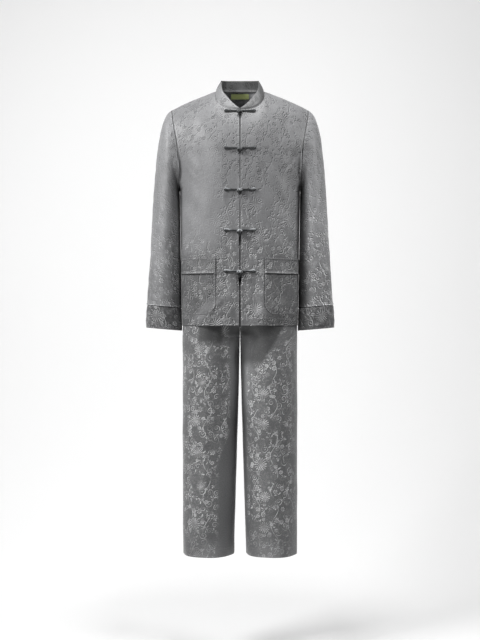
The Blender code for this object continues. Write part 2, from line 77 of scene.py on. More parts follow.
TORSO = (
    ("height", "half_width", "front", "back"),
    (-0.748, 0.1842, 0.117, 0.124), (-0.66, 0.1862, 0.119, 0.125), (-0.5, 0.1886, 0.122, 0.126),
    (-0.35, 0.1912, 0.125, 0.13), (-0.25, 0.1925, 0.125, 0.133), (-0.18, 0.1975, 0.123, 0.133),
    (-0.12, 0.2085, 0.12, 0.131), (-0.08, 0.215, 0.118, 0.129), (-0.0592, 0.2175, 0.117, 0.128),
    (0.06, 0.2175, 0.114, 0.126),
)
SLEEVE = (
    ("row", "outer_x", "outer_z", "inner_x", "inner_z", "half_depth", "centre_y"),
    (0, 0.2175, -0.0592, 0.1926, -0.3136, 0.076, 0.003),
    (1, 0.2352, -0.076, 0.193, -0.3175, 0.0775, 0.003),
    (2, 0.2478, -0.106, 0.1928, -0.3225, 0.078, 0.003),
    (3, 0.259, -0.158, 0.1924, -0.331, 0.0775, 0.003),
    (4, 0.268, -0.23, 0.1921, -0.348, 0.076, 0.002),
    (5, 0.2745, -0.31, 0.1918, -0.378, 0.0735, 0.001), (6, 0.2802, -0.4, 0.1909, -0.43, 0.07, 0),
    (7, 0.285, -0.5, 0.1895, -0.514, 0.065, -0.001),
    (8, 0.2914, -0.6, 0.1877, -0.608, 0.059, -0.002),
    (9, 0.2972, -0.6826, 0.1862, -0.692, 0.054, -0.003),
)
CUFF = (
    ("row", "outer_x", "outer_z", "inner_x", "inner_z", "half_depth", "centre_y"),
    (0, 0.2976, -0.6812, 0.1862, -0.6906, 0.0545, -0.003),
    (1, 0.2994, -0.718, 0.1854, -0.7275, 0.0525, -0.003),
    (2, 0.301, -0.7535, 0.1848, -0.7635, 0.0505, -0.003),
)
COLLAR = (
    ("angle", "rise", "lean"),
    (0, 0.0345, 14), (50, 0.0355, 20), (90, 0.038, 30), (115, 0.04, 33), (134, 0.0415, 32),
    (150, 0.0335, 29), (162, 0.023, 25), (172, 0.0125, 22), (180, 0.005, 20),
)
LEG = (
    ("height", "inner_x", "outer_x", "front", "back"),
    (-1.474, 0.0194, 0.1818, 0.08, 0.083), (-1.38, 0.0166, 0.1824, 0.081, 0.085),
    (-1.146, 0.0094, 0.183, 0.086, 0.09), (-0.95, 0.004, 0.183, 0.093, 0.098),
    (-0.83, 0.0014, 0.1828, 0.098, 0.103), (-0.783, 0.0006, 0.1826, 0.097, 0.101),
    (-0.748, 0.0003, 0.182, 0.095, 0.099), (-0.66, 0.0003, 0.1735, 0.094, 0.098),
    (-0.56, 0.0003, 0.162, 0.092, 0.097), (-0.49, 0.0003, 0.152, 0.09, 0.095),
)

# folds and creases
# face, place across, height, lean, half width, half height, depth
TORSO_FOLDS = (
    (-1, 0.12, -0.17, 0.35, 0.02, 0.09, -0.003), (-1, -0.125, -0.18, -0.35, 0.02, 0.09, -0.003),
    (-1, 0.095, -0.42, 0.1, 0.026, 0.16, 0.0028), (-1, -0.1, -0.43, -0.08, 0.028, 0.17, 0.0026),
    (-1, 0.045, -0.65, -0.05, 0.016, 0.08, -0.0024),
    (-1, -0.05, -0.64, 0.1, 0.018, 0.085, -0.0026),
    (-1, -0.078, -0.695, 0.62, 0.013, 0.044, 0.0052),
    (-1, -0.098, -0.718, 0.8, 0.011, 0.032, -0.0034),
    (-1, 0.07, -0.69, -0.35, 0.014, 0.05, 0.0046), (-1, 0.146, -0.4, -0.12, 0.014, 0.12, 0.0024),
    (-1, -0.148, -0.39, 0.1, 0.014, 0.12, 0.0022), (1, 0.085, -0.33, 0.18, 0.026, 0.2, 0.003),
    (1, -0.08, -0.35, -0.16, 0.028, 0.2, 0.003), (1, 0.01, -0.61, 0.04, 0.03, 0.11, -0.0028),
)
TORSO_CREASES = (
    (-1, 0.158, -0.235, 0.6, 0.007, 0.055, -0.0016),
    (-1, 0.144, -0.262, 0.72, 0.006, 0.042, 0.0012),
    (-1, -0.16, -0.24, -0.58, 0.01, 0.058, -0.001),
    (-1, -0.147, -0.27, -0.75, 0.009, 0.04, 0.0005), (-1, 0.06, -0.25, 0.16, 0.012, 0.06, 0.0011),
    (-1, -0.058, -0.262, -0.2, 0.012, 0.07, 0.0012),
    (-1, 0.022, -0.395, 0.1, 0.006, 0.036, 0.002), (-1, -0.02, -0.505, -0.14, 0.006, 0.04, 0.002),
    (-1, 0.028, -0.505, 0.2, 0.008, 0.034, -0.0021),
    (-1, -0.028, -0.385, -0.18, 0.008, 0.042, -0.002),
    (-1, 0.13, -0.505, -0.35, 0.01, 0.034, 0.0016),
    (-1, -0.118, -0.515, 0.55, 0.009, 0.026, 0.0018),
    (-1, 0.052, -0.565, 0.06, 0.008, 0.05, 0.0014),
    (-1, -0.058, -0.56, -0.1, 0.009, 0.055, 0.0015),
    (-1, 0.06, -0.715, -0.22, 0.01, 0.034, 0.0022), (-1, -0.062, -0.7, 0.6, 0.009, 0.028, 0.002),
    (-1, 0.024, -0.69, 0.05, 0.007, 0.05, 0.0013), (-1, -0.026, -0.7, -0.04, 0.007, 0.05, 0.0012),
    (-1, 0.105, -0.08, -0.45, 0.012, 0.03, -0.001), (-1, -0.1, -0.085, 0.5, 0.012, 0.03, -0.0011),
    (1, 0.15, -0.25, 0.7, 0.008, 0.06, -0.002), (1, -0.152, -0.255, -0.66, 0.008, 0.062, -0.002),
    (1, 0.126, -0.3, 0.55, 0.007, 0.05, 0.0014), (1, -0.128, -0.29, -0.6, 0.007, 0.05, 0.0014),
    (1, 0.04, -0.46, 0.05, 0.012, 0.12, 0.0016), (1, -0.036, -0.5, -0.05, 0.012, 0.12, 0.0015),
    (1, 0.11, -0.62, -0.06, 0.014, 0.09, -0.0018), (1, -0.104, -0.63, 0.08, 0.014, 0.09, -0.0018),
    (1, 0, -0.1, 0, 0.03, 0.03, -0.0012),
)
# round the sleeve and the leg: degrees from the outermost point (the front is
# negative), height, lean, half angle, half height, depth
SLEEVE_FOLDS = (
    (-62, -0.26, 180, 22, 0.08, -0.0034), (-95, -0.42, -160, 24, 0.075, 0.0036),
    (-48, -0.5, 220, 20, 0.06, -0.0032), (-80, -0.61, 120, 22, 0.05, 0.003),
    (75, -0.36, 150, 24, 0.09, -0.0036), (60, -0.54, -140, 22, 0.07, 0.0034),
)
SLEEVE_CREASES = (
    (-110, -0.215, 420, 9, 0.04, -0.002), (-128, -0.25, 380, 8, 0.032, 0.0016),
    (-40, -0.17, -210, 10, 0.036, -0.0014), (-72, -0.372, 620, 9, 0.024, 0.0018),
    (-100, -0.396, 540, 8, 0.022, -0.002), (-58, -0.448, -520, 9, 0.02, 0.0016),
    (-112, -0.472, -430, 9, 0.026, -0.0018), (-36, -0.56, 480, 9, 0.026, 0.0016),
    (-96, -0.556, 560, 8, 0.022, 0.0018), (-66, -0.64, -380, 9, 0.022, -0.0016),
    (-120, -0.65, 300, 10, 0.022, 0.0018), (-44, -0.662, 560, 11, 0.018, 0.0028),
    (-28, -0.64, -420, 9, 0.02, -0.0018), (96, -0.24, -420, 9, 0.044, -0.002),
    (60, -0.4, 560, 9, 0.026, 0.0018), (100, -0.44, -500, 9, 0.024, -0.0019),
    (52, -0.6, 420, 9, 0.026, -0.0016), (112, -0.62, -360, 9, 0.024, 0.0017),
)
LEG_FOLDS = (
    (-60, -1.02, 25, 20, 0.24, 0.0034), (-105, -1.15, -20, 18, 0.23, -0.0034),
    (-82, -1.3, 15, 16, 0.13, 0.0028), (70, -1.05, -25, 20, 0.26, 0.0036),
    (110, -1.18, 20, 20, 0.22, -0.0034),
)
LEG_CREASES = (
    (-150, -0.85, 260, 10, 0.05, -0.0016), (-128, -0.88, 220, 9, 0.06, 0.0014),
    (-35, -0.9, -60, 9, 0.11, -0.0016), (-88, -1.105, 90, 7, 0.07, -0.0014),
    (-118, -1.04, -60, 8, 0.11, 0.0013), (-44, -1.24, 50, 8, 0.1, -0.0016),
    (-70, -1.4, -60, 8, 0.06, 0.0014), (-112, -1.41, 60, 8, 0.055, -0.0014),
    (40, -0.96, 60, 10, 0.11, -0.0018), (90, -1.09, -80, 8, 0.08, 0.0016),
    (135, -0.9, -160, 10, 0.08, -0.0018), (56, -1.3, -40, 9, 0.11, 0.0015),
    (104, -1.38, 50, 9, 0.07, -0.0014),
)


def size(label, words, default, low, high, **kind):
    """Size that a user would change, in metres unless its kind says otherwise."""
    return bpy.props.FloatProperty(name=label, description=words, default=default, min=low,
                                   max=high, **(kind or {"unit": "LENGTH"}))


def tint(label, words, *default):
    """Colour that a user would change."""
    return bpy.props.FloatVectorProperty(name=label, description=words, default=default,
                                         subtype="COLOR", min=0, max=1)


class PyjamaSizes(bpy.types.PropertyGroup):
    """Sizes that a user would change."""

    cloth: size("Cloth", "Thickness of the silk with its turned seams", 0.0012, 0.0006, 0.003)
    stand: size("Stand", "Thickness of the interlined collar stand", 0.0026, 0.001, 0.005)
    band: size("Bands", "Thickness of the doubled cuffs and pocket bands", 0.0018, 0.001, 0.004)
    creases: size("Creases", "Depth of the small creases against their tables", 1.0, 0.0, 2.0,
                  subtype="FACTOR")
    cord: size("Frog cord", "Radius of the bound cord of the frogs", 0.0019, 0.0008, 0.003)
    knot: size("Knot", "Radius of the ball that the cord is knotted round", 0.0060, 0.003, 0.008)
    stitch: size("Stitch", "Length of one stitch with its gap", 0.0030, 0.0015, 0.006)
    opening: size("Front opening", "How far the fronts part under each knot", 0.0034, 0, 0.008)


class PyjamaColours(bpy.types.PropertyGroup):
    """Colours that a user would change."""

    jacket: tint("Jacket ground", "Ground of the jacket's silk", 0.165, 0.166, 0.170)
    jacket_motif: tint("Jacket motif", "Woven motif low on the jacket", 0.340, 0.342, 0.346)
    cuff: tint("Cuff ground", "Ground of the cuffs' silk", 0.070, 0.070, 0.072)
    cuff_motif: tint("Cuff motif", "Woven motif of the cuffs", 0.240, 0.242, 0.245)
    trouser: tint("Trouser ground", "Ground of the trousers' silk", 0.105, 0.106, 0.108)
    trouser_motif: tint("Trouser motif", "Woven motif of the trousers", 0.400, 0.402, 0.405)
    frog: tint("Frog cord", "Bound cord of the frogs", 0.026, 0.027, 0.028)
    label: tint("Label", "Blank woven label at the nape", 0.700, 0.790, 0.330)
    floor: tint("Backdrop", "Pale floor and backdrop", 0.80, 0.80, 0.80)


# maths of the form
def smooth(table, name, at):
    """Cubic Hermite curve through the named column of a table, whose first row holds the
    names, read at values of its first column."""
    rows = np.array(table[1:], float)
    knots, values = rows[:, 0], rows[:, table[0].index(name)]
    slopes = np.gradient(values, knots)
    at = np.clip(np.asarray(at, float), knots[0], knots[-1])
    low = np.clip(np.searchsorted(knots, at, side="right") - 1, 0, len(knots) - 2)
    gap = knots[low + 1] - knots[low]
    t = (at - knots[low]) / gap
    return (values[low] * (1 + 2 * t) * (1 - t) ** 2 + slopes[low] * gap * t * (1 - t) ** 2
            + values[low + 1] * t * t * (3 - 2 * t) + slopes[low + 1] * gap * t * t * (t - 1))


def bump(value, centre, half):
    """A soft hill of height one: e to the minus squared distance over the half size."""
    return np.exp(-((value - centre) / half) ** 2)


def step(value, low, high):
    """Smooth step from 0 at low to 1 at high."""
    t = np.clip((value - low) / (high - low), 0, 1)
    return t * t * (3 - 2 * t)


def unit(vectors):
    """Each vector of the last axis over its length."""
    return vectors / np.maximum(np.linalg.norm(vectors, axis=-1, keepdims=True), 1e-12)


def ripple(a, b, seed, length, count=7):
    """Gentle unevenness of height about one: a sum of sine waves in seeded directions."""
    rng = np.random.default_rng(seed)
    total = np.zeros(np.broadcast(a, b).shape)
    for _ in range(count):
        turn, phase = rng.uniform(0, 2 * math.pi), rng.uniform(0, 2 * math.pi)
        wave = 2 * math.pi / (length * rng.uniform(0.6, 1.7))
        total = total + np.sin((a * math.cos(turn) + b * math.sin(turn)) * wave + phase)
    return total / math.sqrt(count)


def shoulder_top(x, face):
    """Height of the shoulder line over x: straight from neck point to tip, with a low arch
    added, and the nape's crown on the back inside the neckline."""
    x, span = np.abs(x), TIP_X - NECK_HALF
    crown = BACK_CROWN * (1 - np.clip(x / NECK_HALF, 0, 1) ** 2) if face > 0 else 0.0
    along = np.clip((x - NECK_HALF) / span, 0, 1)
    return TIP_Z / span * np.clip(x - NECK_HALF, 0, None) + crown \
        + SHOULDER_ARCH * np.sin(math.pi * along)


def neckline(x, face):
    """Height of the neckline over x: a squared arc under the neck points, or over the nape."""
    power = 2 if face > 0 else NECK_SQUARE
    arc = np.clip(1 - np.abs(x / NECK_HALF) ** power, 0, 1) ** (1 / power)
    return (NECK_BACK if face > 0 else -NECK_DROP) * arc


def torso_base(turn, z, face):
    """Torso surface. Across, x and y follow a superellipse in turn; over the chest the
    section opens to the armhole's depth; near the shoulder line y shrinks to nothing."""
    depth = smooth(TORSO, "back" if face > 0 else "front", z)
    rise = np.clip((z - ARMPIT_Z) / ARMHOLE_ROUND, 0, 1)
    calm = step(z, ARMPIT_Z - 0.030, ARMPIT_Z - 0.030 + CHEST_BLEND)
    full = ARMHOLE_BACK if face > 0 else ARMHOLE_FRONT
    x = smooth(TORSO, "half_width", z) * np.sign(turn) * np.abs(np.sin(turn)) ** (2 / SQUARE)
    level = np.abs(np.cos(turn))
    section = (1 - calm) * depth * level ** (2 / SQUARE) \
        + calm * (full + (depth - full) * level ** 2)
    edge = full * np.sqrt(1 - (1 - rise) ** 2) - calm * full
    section = section + edge * np.abs(np.sin(turn)) ** SIDE_POWER
    top = shoulder_top(x, face)
    share = np.clip((z - ROUND_Z) / np.maximum(top - ROUND_Z, 1e-6), 0, 1)
    over = (1 - share ** ROUND_POWER) ** (1 / ROUND_POWER)
    return np.stack([x, face * section * over, z * np.ones_like(x)], axis=-1)


def torso(turn, z, face, lift=0.0, creases=1.0):
    """Torso surface moved out along its normal by lift, its folds, creases and unevenness."""
    turn, z = np.broadcast_arrays(np.asarray(turn, float), np.asarray(z, float))
    point = torso_base(turn, z, face)
    back = np.where(turn < 0, -STEP_TURN, STEP_TURN)
    across = (point - torso_base(turn - back, z, face)) * np.sign(back)[..., None]
    up = point - torso_base(turn, z - STEP_Z, face)
    normal = unit(np.cross(across, up) * -face)
    x, amount = point[..., 0], np.zeros_like(z)
    for table, share in ((TORSO_FOLDS, 1.0), (TORSO_CREASES, creases)):
        for side, place, height, slant, wide, tall, depth in table:
            if side == face:
                down = z - height
                line = place + slant * down + 0.006 * np.sin(down * 55 + place * 90)
                amount = amount + share * depth * bump(x, line, wide) * bump(z, height, tall)
    loose = step(HEM_Z + 0.10 - z, -0.35, 0.10)
    amount = amount + creases * (
        (0.00055 + 0.0006 * loose) * ripple(x * 1.5, z, 11 + face, 0.085)
        + 0.00010 * ripple(x * 1.3, z, 21 + face, 0.022)
        + 0.0016 * bump(z, HEM_Z, 0.05) * np.sin(x * 46 + face * 0.7))
    inside = 1 - np.abs(np.sin(turn)) ** SIDE_POWER
    return point + normal * (lift + inside * amount)[..., None]


def turn_of(x, z):
    """The turn at which the torso reaches a given x at height z."""
    half = smooth(TORSO, "half_width", z)
    return np.sign(x) * np.arcsin(np.clip(np.abs(x) / half, 0, 1) ** (SQUARE / 2))


def fine_ends(count, length, edge, end=True):
    """Shares from 0 to 1 with extra ones at the ends, for the roll of a cloth edge."""
    extra = np.array([0.12, 0.4, 0.9, 1.6]) * edge / length
    parts = [np.linspace(0, 1, count), extra] + ([1 - extra] if end else [])
    return np.unique(np.concatenate(parts).round(7))


def tube_folds(angle, z, tables, creases, side, shift, wave, whole):
    """Folds and creases round a tube, as distances out. The creases' places shift a little
    with the side, so the two sleeves and the two legs differ; whole tubes wrap round."""
    amount = np.zeros(z.shape)
    for table, share, own in zip(tables, (1.0, creases), (0, side)):
        for n, (place, height, slant, wide, tall, depth) in enumerate(table):
            height = height + own * shift[0] * math.sin(n * shift[1])
            place = place + own * shift[2] * math.cos(n * shift[3])
            away = angle - place - slant * (z - height) - 3 * np.sin((z - height) * wave + n)
            away = (away + 180) % 360 - 180 if whole else away
            amount = amount + share * depth * bump(away, 0, wide) * bump(z, height, tall)
    return amount


# mesh building
def grid_normals(grid, closed):
    """Unit normals of a grid: across the difference along its rows and its columns."""
    if closed:
        padded = np.concatenate([grid[:, -2:-1], grid, grid[:, 1:2]], axis=1)
        across = padded[:, 2:] - padded[:, :-2]
    else:
        across = np.gradient(grid, axis=1)
    return unit(np.cross(across, np.gradient(grid, axis=0)))


def run(grid, axis):
    """Distance run along an axis of a grid of points, starting at nothing."""
    total = np.cumsum(np.linalg.norm(np.diff(grid, axis=axis), axis=-1), axis=axis)
    return np.insert(total, 0, 0.0, axis=axis)


def new_mesh(name, points, faces, uv=None, **marks):
    """Smooth mesh of points and arrays of faces, with a UV for each corner and values of
    named attributes for each point."""
    mesh = bpy.data.meshes.new(name)
    corners = np.concatenate([part.ravel() for part in faces])
    counts = np.concatenate([np.full(len(part), part.shape[1]) for part in faces])
    mesh.vertices.add(len(points))
    mesh.vertices.foreach_set("co", points.ravel())
    mesh.loops.add(len(corners))
    mesh.loops.foreach_set("vertex_index", corners)
    mesh.polygons.add(len(counts))
    mesh.polygons.foreach_set("loop_start", np.cumsum(counts) - counts)
    mesh.polygons.foreach_set("loop_total", counts)
    mesh.polygons.foreach_set("use_smooth", np.ones(len(counts), bool))
    if uv is not None:
        mesh.uv_layers.new(name="cloth").data.foreach_set("uv", uv.ravel().astype(np.float32))
    for mark, values in marks.items():
        mesh.attributes.new(mark, "FLOAT", "POINT").data.foreach_set(
            "value", values.astype(np.float32))
    mesh.update()
    mesh.validate()
    return mesh


def finish_piece(name, data, materials, node=None):
    """Make the object, give it its materials, and tie it to the frame."""
    piece = bpy.data.objects.new(name, data)
    for material in materials:
        data.materials.append(material_of(material))
    bpy.context.scene.collection.objects.link(piece)
    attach(piece, "root")
    if node:
        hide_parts(node)
    return piece


def cloth_shell(node, grid, thickness, cloth="jacket", name=None, closed=False, flip=False,
                shift=(0.0, 0.0), start=0.5, even=False, plain=None):
    """Closed thin shell from the outer face's grid. The wall's half thickness is h times the
    root of 1 - (1 - d/h) squared at distance d from a free edge, so edges are rolled. The UV
    map holds the metres run along the cloth from the share start of its width, for a plain
    grid given too on that and up from its last row; the attribute seam holds d."""
    if flip:
        grid, plain = grid[:, ::-1], None if plain is None else plain[:, ::-1]
    rows, columns = grid.shape[:2]
    along, up = run(grid, 1), run(grid, 0)
    sides = [] if closed else [along, along[:, -1:] - along]
    seam = np.minimum.reduce([up, up[-1:] - up, *sides])
    half, normal = thickness / 2, grid_normals(grid, closed)
    wall = half * np.sqrt(1 - (1 - np.clip(seam / half, 0, 1)) ** 2)[..., None]
    # both faces share the points of the free edges
    width = columns - 1 if closed else columns
    number = np.arange(rows)[:, None] * width + np.arange(columns)[None, :] % width
    border = np.zeros((rows, columns), bool)
    border[[0, -1]] = True
    if not closed:
        border[:, [0, -1]] = True
    both = np.stack([number, np.where(border, number, number + rows * width)])
    points = np.concatenate([(grid - normal * (half + way * wall))[:, :width].reshape(-1, 3)
                             for way in (-1, 1)])
    used, both_new = np.unique(both.ravel(), return_inverse=True)

    def quads(outer, inner):
        corners = [[n[:-1, :-1], n[:-1, 1:], n[1:, 1:], n[1:, :-1]] for n in (outer, inner)]
        return np.concatenate([np.stack(corner, axis=-1).reshape(-1, 4)
                               for corner in (corners[0], corners[1][::-1])])

    faces = quads(*both_new.reshape(both.shape))
    corners = quads(*[np.arange(rows * columns).reshape(rows, columns)] * 2)
    if even:
        along = along.mean(axis=0, keepdims=True) + 0 * along
    if plain is not None:
        along, up = run(plain, 1), run(plain, 0)
        up = up[-1:] - up
    uv = np.stack([along - start * along[:, -1:] + shift[0], up + shift[1]], axis=-1)
    mesh = new_mesh(name or node + "_cloth", points[used], [faces],
                    uv.reshape(-1, 2)[corners.ravel()],
                    seam=np.tile(seam[:, :width].ravel(), 2)[used])
    *materials, slot = CLOTHS[cloth]
    mesh.polygons.foreach_set("material_index",
                              np.repeat([0, len(materials) - 1], len(faces) // 2))
    piece = finish_piece(mesh.name, mesh, materials, node)
    cells = np.cross(grid[1:, 1:] - grid[:-1, :-1], grid[1:, :-1] - grid[:-1, 1:])


def tube(path, radius, sides, oval):
    """Tube round a path: at each point a ring of the radius in the plane across the path,
    pressed to an oval along the second direction."""
    tangent = unit(np.gradient(path, axis=0))
    first = np.cross(tangent, (0.0, 1.0, 0.0))
    weak = np.linalg.norm(first, axis=1) < 0.2
    first[weak] = np.cross(tangent[weak], (0.0, 0.0, 1.0))
    turned = np.einsum("ij,ij->i", first[1:], first[:-1]) < 0
    first[1:] *= np.cumprod(np.where(turned, -1.0, 1.0))[:, None]
    first = unit(first)[:, None]
    angle = np.linspace(0, 2 * math.pi, sides, endpoint=False)[None, :, None]
    second = np.cross(tangent[:, None], first)
    ring = first * np.cos(angle) + second * np.sin(angle) * oval
    return path[:, None] + ring * radius[:, None, None]


def cord_mesh(name, strands):
    """One mesh of several cords: each strand is (path, radius, sides, oval, looped). Open
    strands end in round tips, whose radius falls as a quarter circle. The attribute upper
    marks the upper half of looped strands."""
    points, quads, tips, uvs, upper, start = [], [], [], [], [], 0
    bend = np.array([0.25, 0.6, 0.88, 0.99])
    for path, radius, sides, oval, looped in strands:
        radius = np.broadcast_to(radius, len(path))
        if looped:
            wrap = np.arange(-2, len(path) + 2) % len(path)
            rings = tube(path[wrap], radius[wrap], sides, oval)[2:-2]
        else:
            lead, tail = unit(path[[0, -1]] - path[[1, -2]])
            path = np.vstack([path[0] + lead * (radius[0] * bend[::-1, None]), path,
                              path[-1] + tail * (radius[-1] * bend[:, None])])
            radius = np.concatenate([radius[0] * np.sqrt(1 - bend[::-1] ** 2), radius,
                                     radius[-1] * np.sqrt(1 - bend ** 2)])
            rings = tube(path, radius, sides, oval)
        number = start + np.arange(len(rings) * sides).reshape(-1, sides)
        if looped:
            number = np.vstack([number, number[:1]])
        else:
            for ring, way in ((number[0], -1), (number[-1], 1)):
                fan = np.stack([ring[1:-1], ring[2:]][::way], axis=1)
                tips.append(np.insert(fan, 0, ring[0], axis=1))
        after = np.roll(number, -1, axis=1)
        quads.append(np.stack([number[:-1], after[:-1], after[1:], number[1:]],
                              axis=-1).reshape(-1, 4))
        high = (path[:, 2] - (path[:, 2].max() + path[:, 2].min()) / 2) / radius.max()
        upper.append(np.repeat(step(high, 0.2, 1.0) * looped, sides))
        uvs.append(np.stack(np.broadcast_arrays(
            np.arange(sides)[None] / sides, run(path, 0)[:, None]), axis=-1).reshape(-1, 2))
        points.append(rings.reshape(-1, 3))
        start += rings.shape[0] * sides
    faces = [np.vstack(part) for part in (quads, tips) if part]
    corners = np.concatenate([part.ravel() for part in faces])
    return new_mesh(name, np.vstack(points), faces, np.vstack(uvs)[corners],
                    upper=np.concatenate(upper))


def stitch_line(grid, inset, side=1, down=False, closed=False):
    """Line of stitches a distance in from a grid's first row, or with down from its first
    column; a negative distance counts from the last. Gives points and directions off."""
    normal = grid_normals(grid, closed) * side
    if down:
        grid, normal = grid.swapaxes(0, 1), normal.swapaxes(0, 1)
    if inset < 0:
        grid, normal = grid[::-1], normal[::-1]
    way = run(grid, 0).mean(axis=1)
    low, share = divmod(np.interp(abs(inset), way, np.arange(len(way))), 1)
    low, ends = int(low), slice(None) if closed else slice(3, -3)
    return (grid[low] * (1 - share) + grid[low + 1] * share)[ends], normal[low][ends]


def sew(name, lines, width=0.0007):
    """Piece of rows of stitches, from lines of points and directions off the cloth: a stitch
    is a small spindle of two rings of four between two tips, half sunk in the cloth."""
    length, blocks = bpy.context.scene.pyjama_sizes.stitch, []
    pattern = np.array([corners for k, n in ((0, 1), (1, 2), (2, 3), (3, 0)) for corners in (
        (1, 2 + k, 2 + n), (0, 6 + n, 6 + k), (2 + k, 6 + k, 6 + n), (2 + k, 6 + n, 2 + n))])
    for path, normal in lines:
        way = run(path, 0)
        number = max(int(way[-1] / length), 1)
        pitch = way[-1] / number
        middle = (np.arange(number) + 0.5) * pitch

        def at(values, off):
            return np.stack([np.interp(middle + off, way, v) for v in values.T], axis=1)

        low, high, here = (at(path, share * pitch) for share in (-0.36, 0.36, 0.0))
        off = at(unit(normal), 0.0)
        side = np.cross(off, unit(high - low))
        rings = [here + (high - low) * place * 0.75 + off * width * 0.25 + away * width / 2
                 for place in (0.45, -0.45) for away in (side, off, -side, -off)]
        blocks.append(np.stack([low, high, *rings], axis=1))
    points = np.concatenate(blocks)
    faces = pattern[None] + 10 * np.arange(len(points))[:, None, None]
    mesh = new_mesh(name, points.reshape(-1, 3), [faces.reshape(-1, 3)])
    finish_piece(name, mesh, ("stitch_thread",))


# materials
class Value:
    """An output that can be reckoned with: each operation lays a math node."""

    def __init__(self, wires, socket):
        self.wires, self.socket = wires, socket

    def __add__(self, other):
        return self.wires.math("ADD", self, other)

    def __sub__(self, other):
        return self.wires.math("SUBTRACT", self, other)

    def __rsub__(self, other):
        return self.wires.math("SUBTRACT", other, self)

    def __mul__(self, other):
        return self.wires.math("MULTIPLY", self, other)

    def __truediv__(self, other):
        return self.wires.math("DIVIDE", self, other)

    def __abs__(self):
        return self.wires.math("ABSOLUTE", self)

    def most(self, other, **settings):
        return self.wires.math("MAXIMUM", self, other, **settings)

    def ramp(self, low, high, to_low=0.0, to_high=1.0):
        """Smooth step from to_low at low to to_high at high."""
        return self.wires.node("ShaderNodeMapRange", self, low, high, to_low, to_high,
                               interpolation_type="SMOOTHSTEP")


class Wires:
    """Short way to lay nodes in a node tree."""

    def __init__(self, tree):
        self.tree = tree

    def put(self, socket, value):
        if isinstance(value, Value):
            self.tree.links.new(value.socket, socket)
        else:
            socket.default_value = value

    def node(self, kind, *values, out=0, named=None, **settings):
        """Node with its settings; values for its first inputs, others by name. Gives one
        output, or a list of them where out is a list."""
        made = self.tree.nodes.new(kind)
        for key, value in settings.items():
            setattr(made, key, value)
        pairs = list(zip(made.inputs, values))
        pairs += [(made.inputs[key], value) for key, value in (named or {}).items()]
        for socket, value in pairs:
            if value is not None:
                self.put(socket, value)
        if isinstance(out, list):
            return [Value(self, made.outputs[key]) for key in out]
        return Value(self, made.outputs[out])

    def math(self, operation, *values, **settings):
        return self.node("ShaderNodeMath", *values, operation=operation, **settings)

    def vector(self, operation, *values):
        return self.node("ShaderNodeVectorMath", *values, operation=operation,
                         out="Value" if operation == "LENGTH" else "Vector")

    def scaled(self, vector, share):
        return self.node("ShaderNodeVectorMath", operation="SCALE",
                         named={"Vector": vector, "Scale": share})

    def split(self, vector):
        return self.node("ShaderNodeSeparateXYZ", vector, out=[0, 1, 2])

    def distance(self, x, y):
        return self.vector("LENGTH", self.node("ShaderNodeCombineXYZ", x, y))

    def mix(self, share, a, b):
        return self.node("ShaderNodeMix", share, data_type="RGBA", named={6: a, 7: b}, out=2)

    def noise(self, vector, scale, detail=2.0, rough=0.5, out="Fac"):
        return self.node("ShaderNodeTexNoise", out=out, named={
            "Vector": vector, "Scale": scale, "Detail": detail, "Roughness": rough})

    def group(self, name, *values, out=0):
        tree = bpy.data.node_groups.get(name) or GROUPS[name](name)
        return self.node("ShaderNodeGroup", *values, node_tree=tree, out=out)


def new_group(name, inputs, outputs):
    """Empty node group with a vector Cloth and the named numbers as inputs and numbers as
    outputs. Gives the group, its wires, its inputs' values and the sockets to fill."""
    tree = bpy.data.node_groups.new(name, "ShaderNodeTree")
    tree.interface.new_socket(name="Cloth", in_out="INPUT", socket_type="NodeSocketVector")
    for label, value in inputs.items():
        tree.interface.new_socket(name=label, in_out="INPUT",
                                  socket_type="NodeSocketFloat").default_value = value
    for label in outputs:
        tree.interface.new_socket(name=label, in_out="OUTPUT", socket_type="NodeSocketFloat")
    w = Wires(tree)
    given = w.node("NodeGroupInput", out=["Cloth", *inputs])
    return tree, w, given, tree.nodes.new("NodeGroupOutput").inputs


def petals(w, r, angle, count, low, high, phase, fill):
    """Ring of petals between two radii: filled where the share of the angle to the petal's
    middle is under a half ellipse of the share of the radius."""
    rho = (r - low) / (high - low)
    wide = w.math("SQRT", (rho * (1.0 - rho) * 4.0).most(0.0)) * fill
    share = w.math("FRACT", angle * (count / (2 * math.pi)) + phase)
    return (wide - abs(share - 0.5) * 2.0).ramp(0.0, 0.22)


